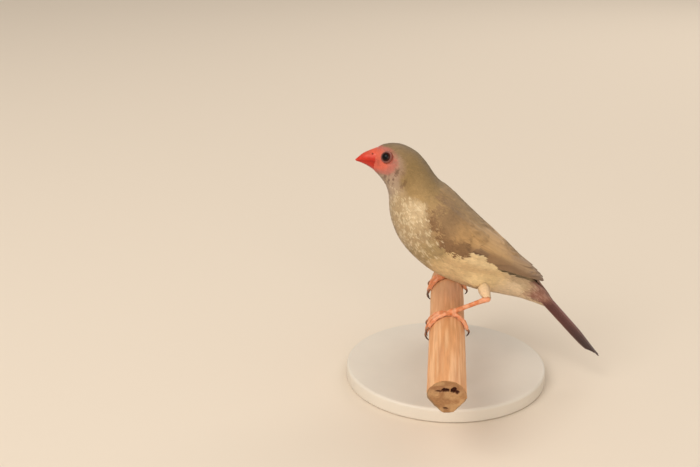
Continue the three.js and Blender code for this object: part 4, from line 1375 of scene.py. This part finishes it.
def toe_path(toe, side, share, arch=0.0):
    """The middle of a toe as it bends round the perch, raised by arch, and the ways out of it."""
    reach, aside, thickness = toe
    x, y, z = leg_point(TOE_JOINT, side, PERCH_RADIUS)
    angle = lerp(math.atan2(-x, z), math.radians(reach), share)
    arc = PERCH_RADIUS + thickness * (0.98 - 0.22 * share) + 0.05 + arch
    arc = np.maximum(arc, lerp(math.hypot(x, z), 0, smooth(0, 0.35, share)))
    out = np.stack([-np.sin(angle), np.zeros_like(angle), np.cos(angle)], -1)
    beside = np.stack([share * 0, y - side * aside * share, share * 0], -1)
    return out * arc[:, None] + beside + (0, 0, PERCH_TOP - PERCH_RADIUS), out


def ball(centre, radius):
    a, t = grid(np.linspace(0.05, math.pi - 0.05, 14), circle(28))
    ways = np.stack([np.sin(a) * np.cos(t), np.sin(a) * np.sin(t), np.cos(a)], -1)
    return outward(*tube(centre + radius * ways))


def foot_forms(side):
    """Shank, ankle, ball of the foot and toes, before they are made into one skin."""
    ankle = leg_point(ANKLE, side)
    joint = leg_point(TOE_JOINT, side)
    share = np.linspace(0, 1, 160)
    path = lerp(ankle, joint, share[:, None])
    radius = TARSUS_RADIUS * along(TARSUS_SHAPE, share * (len(TARSUS_SHAPE) - 1))
    facing = np.tile(np.array([-0.35, 0.0, 1.0]), (len(share), 1))
    forms = [sweep(path, radius, 40, facing, scutes), ball(ankle, 1.12), ball(joint, 1.22)]
    share = np.linspace(0, FLESH_ENDS, 170)
    ending = np.sqrt(np.maximum(1 - smooth(FLESH_ENDS - 0.09, FLESH_ENDS, share) ** 1.5 * 0.9, 0.02))
    shape = along(TOE_SHAPE, share / FLESH_ENDS * (len(TOE_SHAPE) - 1)) * ending
    for toe in TOES:
        middle, out = toe_path(toe, side, share)
        forms.append(sweep(middle, toe[-1] * shape, 36, out, pads))
    return forms


def foot_piece(side, material):
    """The skin of one leg and foot, paler where it touches the perch."""
    foot = one_surface(f"foot_skin_{SIDES[side]}", foot_forms(side), material, FOOT_VOXEL)
    where = np.empty(len(foot.data.vertices) * 3, np.float32)
    foot.data.vertices.foreach_get("co", where)
    where = where.reshape(-1, 3) / MM
    from_perch = np.hypot(where[:, 0], where[:, 2] - PERCH_TOP + PERCH_RADIUS) - PERCH_RADIUS
    tone = mix("foot", "foot_light", smooth(0.35, 0.75, noise_at(where, 1.1)))
    set_paint(foot.data, mix("foot_pad", tone, smooth(0.1, 0.9, from_perch)))
    return foot


def claws_piece(side, material):
    """Curved claws that spring from the toes' ends, arch off the perch and come back towards it."""
    rings, sides = CLAW_RINGS
    share = np.linspace(CLAW_STARTS, 1, rings)
    q = (share - CLAW_STARTS) / (1 - CLAW_STARTS)
    arch = CLAW_ARCH * np.sin(math.pi * q ** 0.8) * 0.8 - 0.25 * q
    forms = []
    for toe in TOES:
        middle, out = toe_path(toe, side, share, arch)
        forms.append(sweep(middle, 0.44 * (1 - q) ** 0.75 + 0.05, sides, out))
    tip = np.append(np.repeat(np.linspace(0, 1, rings), sides), (0, 1))
    tone = mix("claw_base", "claw", smooth(0.05, 0.6, np.tile(tip, len(TOES))))
    return mesh_piece(f"claws_{SIDES[side]}", *joined(forms), material, tone)


def leg_material():
    look = Look("leg_skin", Roughness=0.5, Specular_IOR_Level=0.4, Subsurface_Weight=0.12,
                Subsurface_Scale=0.0008)
    place = look.node("ShaderNodeTexCoord")["Object"]
    scales = {"Scale": 4200.0, "Vector": place}
    edges = look.node("ShaderNodeTexVoronoi", scales, feature="DISTANCE_TO_EDGE")["Distance"]
    edges = look.ranged(edges, 0.0, 1.0, 0.0, 0.12)
    look.paint(look.ranged(edges, 0.88, 1.0, 0, 1), look.ranged(look.noise(900.0), 0.9, 1.08))
    look.bump(edges, 0.35, 0.00004)
    return look.material


# Perch

PERCH = {"along": 300, "round": 200, "rings": 44, "grain": 0.16, "far_round": 1.2}
# Facets chopped off the near end: the way each looks as [x, z], how far from the axis it starts, and
# how fast it runs back
CHOPS = [((-0.79, -0.61), 4.3, 1.7), ((0.80, -0.60), 4.9, 2.0), ((-0.98, 0.2), 5.5, 1.3),
         ((0.2, -0.98), 5.6, 1.4)]
# Holes in the end grain: [x, z] from the axis, radii along both, and depth
HOLES = [((-0.6, 2.5), 1.3, 0.75, 1.5), ((2.0, 2.6), 0.9, 1.1, 1.7), ((3.1, 1.9), 0.7, 0.8, 1.2),
         ((-2.4, 2.1), 1.2, 0.5, 0.7), ((-0.2, -4.2), 0.9, 0.45, 0.7)]


def end_depth(x, z):
    """How far the near end lies behind a flat cut, at [x, z] from the perch's axis."""
    depth = 0.3 * (noise(x, 40, z, 1.3) - 0.5) + 0.14 * (noise(x, 60, z, 0.4) - 0.5)
    rough = 0.35 * (noise(x, z, 20, 0.9) - 0.5)
    for (way_x, way_z), start, slope in CHOPS:
        depth = depth + np.maximum(way_x * x + way_z * z + rough - start, 0) * slope
    return depth


def hole_depth(x, z):
    ragged = 0.5 * (noise(x, 9, z, 0.5) - 0.5)
    depth = np.zeros_like(x)
    for (at_x, at_z), wide, high, deep in HOLES:
        away = np.hypot((x - at_x) / wide, (z - at_z) / high) + ragged
        depth = np.maximum(depth, deep * smooth(1.1, 0.5, away))
    return depth


def bark_noise(turn, y, spacing):
    """Noise that closes round the perch."""
    return noise(6 + 6 * np.cos(turn), 6 + 6 * np.sin(turn), y, spacing)


def near_end(turn, share):
    """A ring of the perch's near end, at a share of its radius, with its colours."""
    x = PERCH_RADIUS * share * np.cos(turn)
    z = PERCH_RADIUS * share * np.sin(turn)
    hole = hole_depth(x, z)
    depth = end_depth(x, z)
    y = PERCH_NEAR_END - math.tan(math.radians(PERCH_END_LEAN)) * z + depth + hole
    tone = layers(
        "end_grain",
        ("end_light", smooth(0.3, 0.7, noise(x, 0, z, 1.6))),
        ("end_cut", smooth(0.15, 0.5, depth) * 0.6),
        ("end_dark", between(z, 0.0, 3.5, 3.0, 5.4) * 0.4),
        # The holes are painted dark: painted shade in them
        ("end_hole_shade", smooth(0.1, 0.8, hole)))
    return np.stack([x, y, z], -1), tone


def bark(turn, rim, share):
    """A ring of the perch's rippled side, at a share of its length, with its colours."""
    y = lerp(rim, PERCH_FAR_END, share)
    ripple = bark_noise(turn, y / 9, 1.1) - 0.5
    fine = bark_noise(turn, y / 14, 0.35) - 0.5
    from_round = np.clip(1 - (PERCH_FAR_END - y) / PERCH["far_round"], 0, 1)
    size = PERCH_RADIUS - PERCH["grain"] / 2 + PERCH["grain"] * (ripple + 0.35 * fine)
    size = size - 0.8 * (1 - np.sqrt(1 - from_round ** 2)) - 0.12 * smooth(1.2, 0.0, y - rim)
    tone = layers(
        "perch",
        ("perch_light", smooth(0.35, 0.75, bark_noise(turn, y / 30, 0.6))),
        ("perch_dark", smooth(0.5, 0.85, bark_noise(turn, y / 7, 2.2)) * 0.5),
        # Darker from under the bird to the far end: painted shade
        ("perch_shade_under_bird", smooth(-30, 5, y) * 0.6))
    return np.stack([size * np.cos(turn), y, size * np.sin(turn)], -1), tone


def far_end(turn, share):
    x = PERCH_RADIUS * share * np.cos(turn)
    z = PERCH_RADIUS * share * np.sin(turn)
    y = PERCH_FAR_END - 0.05 + 0.12 * (noise(x, 3, z, 0.7) - 0.5)
    return np.stack([x, y, z], -1), np.tile(PALETTE["end_light"], (len(turn), 1))


def perch_piece(material):
    turn = circle(PERCH["round"])
    rim = near_end(turn, 1.0)[0][:, 1]
    rings = [near_end(turn, share) for share in np.linspace(0.02, 0.985, PERCH["rings"])]
    rings += [bark(turn, rim, share) for share in np.linspace(0, 1, PERCH["along"]) ** 1.25]
    rings += [far_end(turn, share) for share in np.linspace(0.85, 0.03, 16)]
    form = outward(*tube(np.array([points for points, _ in rings]) + (0, 0, PERCH_TOP - PERCH_RADIUS)))
    return mesh_piece("perch_wood", *form, material, tube_tones([tone for _, tone in rings]))


def wood_material():
    """Peeled wood, whose fibres run along the perch."""
    look = Look("perch_wood", Roughness=0.62, Specular_IOR_Level=0.3)
    fibres = look.noise(1500.0, detail=6.0, stretch=(1, 0.06, 1), roughness=0.65)
    broad = look.noise(260.0, detail=3.0, stretch=(1, 0.16, 1))
    look.paint(look.ranged(fibres, 0.84, 1.1, 0.25, 0.75), look.ranged(broad, 0.92, 1.08))
    look.feed("Roughness", look.ranged(fibres, 0.72, 0.5, 0.2, 0.8))
    look.bump(fibres, 0.35, 0.0001)
    return look.material


# Display stand

BASE = {"radius": 36, "thickness": 5, "chamfer": 1}
ROD = {"radius": 2.5, "rim": 0.25, "clear": 0.1}
ROD_PLACES = {"stand_rod_near": -20, "stand_rod_far": 20}


def lathe(profile, segments):
    """A round closed form from a profile of [radius, height], from its lower to its upper end."""
    turn = circle(segments)
    rings = [np.stack([r * np.cos(turn), r * np.sin(turn), turn * 0 + z], -1) for r, z in profile]
    return outward(*tube(np.array(rings)))


def base_piece(material):
    """A disc with rounded edges above and below."""
    r, h, c = BASE["radius"], BASE["thickness"], BASE["chamfer"]
    profile = [(share * (r - c), 0.0) for share in (0.02, 0.3, 0.6, 0.9)]
    for a in np.linspace(0, math.pi / 2, 6):
        profile.append((r - c / 2 + c / 2 * math.sin(a), c / 2 - c / 2 * math.cos(a)))
    for a in np.linspace(0, math.pi / 2, 12):
        profile.append((r - c + c * math.cos(a), h - c + c * math.sin(a)))
    profile += [(share * (r - c), h) for share in (0.97, 0.9, 0.6, 0.3, 0.02)]
    return mesh_piece("stand_plinth", *lathe(profile, 200), material)


def rod_piece(name, y, material):
    """A rod that stands on the disc and ends just under the round of the perch."""
    low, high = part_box(name)
    bottom = low.z / MM
    top = high.z / MM
    r, rim = ROD["radius"], ROD["rim"]
    profile = [(0.1, bottom), (r - rim, bottom), (r, bottom + rim)]
    profile += [(r, lerp(bottom + rim, top, share)) for share in np.linspace(0.1, 1, 12)]
    profile += [(r * 0.5, top), (0.1, top)]
    points, faces = lathe(profile, 64)
    roof = PERCH_TOP - PERCH_RADIUS - np.sqrt(PERCH_RADIUS ** 2 - points[:, 0] ** 2) - ROD["clear"]
    near_top = points[:, 2] > top - 3
    points[:, 2] = np.where(near_top, np.minimum(points[:, 2], roof), points[:, 2])
    return mesh_piece(name + "_steel", points + (0, y, 0), faces, material)


def paint_material():
    """Satin paint with a faint orange-peel surface and slightly worn tone."""
    look = Look("stand_paint", Roughness=0.45, Specular_IOR_Level=0.4)
    look.paint(look.ranged(look.noise(60.0), 0.97, 1.02), base=tuple(PALETTE["stand"]))
    look.feed("Roughness", look.ranged(look.noise(150.0), 0.38, 0.52))
    look.bump(look.noise(1400.0), 0.12, 0.00008)
    return look.material


def steel_material():
    """Brushed steel, its scratches running round the rod."""
    look = Look("stand_steel", Roughness=0.3, Metallic=1.0)
    scratches = look.noise(2200.0, detail=4.0, stretch=(0.08, 0.08, 1.6))
    look.paint(look.ranged(scratches, 0.85, 1.05), base=tuple(PALETTE["steel"]))
    look.feed("Roughness", look.ranged(scratches, 0.22, 0.42))
    look.bump(scratches, 0.15, 0.00003)
    return look.material


# Floor, lights and camera

CAMERA_PLACE = (-4.229, -348.596, 175.34)
CAMERA_PITCH = 19.19
CAMERA_YAW = 5.04
CAMERA_LENS = 54.0
FLOOR_REACH = 3000
FLOOR_Z = -0.2
WORLD_TINT = (1.0, 0.95, 0.89, 1)
WORLD_STRENGTH = 0.58
# Name, place and size in metres, power and tint
LIGHTS = [("key", (-0.7, -0.8, 1.0), 1.0, 10.8, (1.0, 0.96, 0.9)),
          ("fill", (0.15, -1.1, 0.35), 1.0, 4.6, (1.0, 0.96, 0.92)),
          ("rim", (0.5, 0.9, 0.8), 0.8, 3.4, (1.0, 0.97, 0.93))]
LIGHTS_AIM = (0.005, 0, 0.06)


def make_camera():
    data = bpy.data.cameras.new("camera")
    data.lens = CAMERA_LENS
    data.sensor_width = 36.0
    data.clip_start = 0.01
    camera = bpy.data.objects.new("camera", data)
    camera.location = Vector(CAMERA_PLACE) * MM
    camera.rotation_euler = (math.radians(90 - CAMERA_PITCH), 0, math.radians(CAMERA_YAW))
    bpy.context.scene.collection.objects.link(camera)
    bpy.context.scene.camera = camera


def area_light(name, place, size, power, tint):
    data = bpy.data.lights.new(name, "AREA")
    data.shape = "DISK"
    data.size = size
    data.energy = power
    data.color = tint
    light = bpy.data.objects.new(name, data)
    light.location = place
    light.rotation_euler = (Vector(LIGHTS_AIM) - Vector(place)).to_track_quat("-Z", "Y").to_euler()
    bpy.context.scene.collection.objects.link(light)


def make_studio():
    look = Look("floor", Roughness=0.9, Specular_IOR_Level=0.1, Base_Color=(*PALETTE["floor"], 1))
    reach = FLOOR_REACH
    corners = [(-reach, -reach, FLOOR_Z), (reach, -reach, FLOOR_Z), (reach, reach, FLOOR_Z),
               (-reach, reach, FLOOR_Z)]
    mesh_piece("floor", corners, [np.array([[0, 1, 2, 3]])], look.material)
    world = bpy.data.worlds.new("studio")
    bpy.context.scene.world = world
    world.use_nodes = True
    bpy.context.scene.view_settings.view_transform = "Standard"
    background = world.node_tree.nodes["Background"]
    background.inputs["Color"].default_value = WORLD_TINT
    background.inputs["Strength"].default_value = WORLD_STRENGTH
    for light in LIGHTS:
        area_light(*light)


make_camera()
make_studio()

coat_look = feather_material("contour_feathers", 0.85, 0.07)
hand_over(skin_piece(skin_material()), "plumage", "head", "neck", "torso", "thigh_left", "thigh_right")
for index, (name, start, end, template, density) in enumerate([
    ("coat_face", 2.75, 4.6, FACE_TUFT, 1.5),
    ("coat_head", 4.6, 7.3, HEAD_TUFT, 1.3),
    ("coat_neck", 7.3, 10.2, BODY_TUFT, 1.25),
    ("coat_breast", 10.0, 13.0, BODY_TUFT, 1.25),
    ("coat_belly", 13.0, 16.5, BODY_TUFT, 1.25),
    ("coat_rump", 16.5, 19.4, BODY_TUFT, 1.25),
]):
    hand_over(small_feathers(name, start, end, template, coat_look, SEED + index, density), "plumage")
hand_over(thigh_coat(coat_look), "plumage")
hand_over(small_feathers("coat_shoulders", 9.95, 13.1, BODY_TUFT, coat_look, SEED + 60, 1.35,
                         on_shoulder, wing_markings, 0.05), "wing_feathers")
hand_over(small_feathers("coat_scapulars", 9.6, 15.4, BODY_TUFT, coat_look, SEED + 80, 1.1,
                         on_scapulars, wing_markings, 0.15), "wing_feathers")
wing_look = feather_material("flight_feathers", 0.7, 0.05)
for side, word in SIDES.items():
    hand_over(wing_piece(side, wing_look), "wing_feathers", f"wing_{word}")
hand_over(tail_piece(wing_look), "tail_feathers", "tail")

bill_look = horn_material("bill_horn", 0.34, (0.25, 1, 1))
for half in ("upper", "lower"):
    hand_over(bill_half(f"bill_{half}_horn", half == "upper", bill_look), "bill", f"bill_{half}")
eye_look = eye_material()
foot_look = leg_material()
claw_look = horn_material("claw_horn", 0.4, (1, 1, 1))
for side, word in SIDES.items():
    hand_over(eyeball(side, eye_look), "eye", f"eye_{word}")
    hand_over(eyelids(side, foot_look), "leg_skin")
    hand_over(foot_piece(side, foot_look), "leg_skin", f"leg_{word}", f"foot_{word}")
    hand_over(claws_piece(side, claw_look), "leg_skin")
hand_over(perch_piece(wood_material()), "perch_wood", "perch")
hand_over(base_piece(paint_material()), "stand_paint", "stand_base")
steel_look = steel_material()
for name, y in ROD_PLACES.items():
    hand_over(rod_piece(name, y, steel_look), "stand_metal", name)
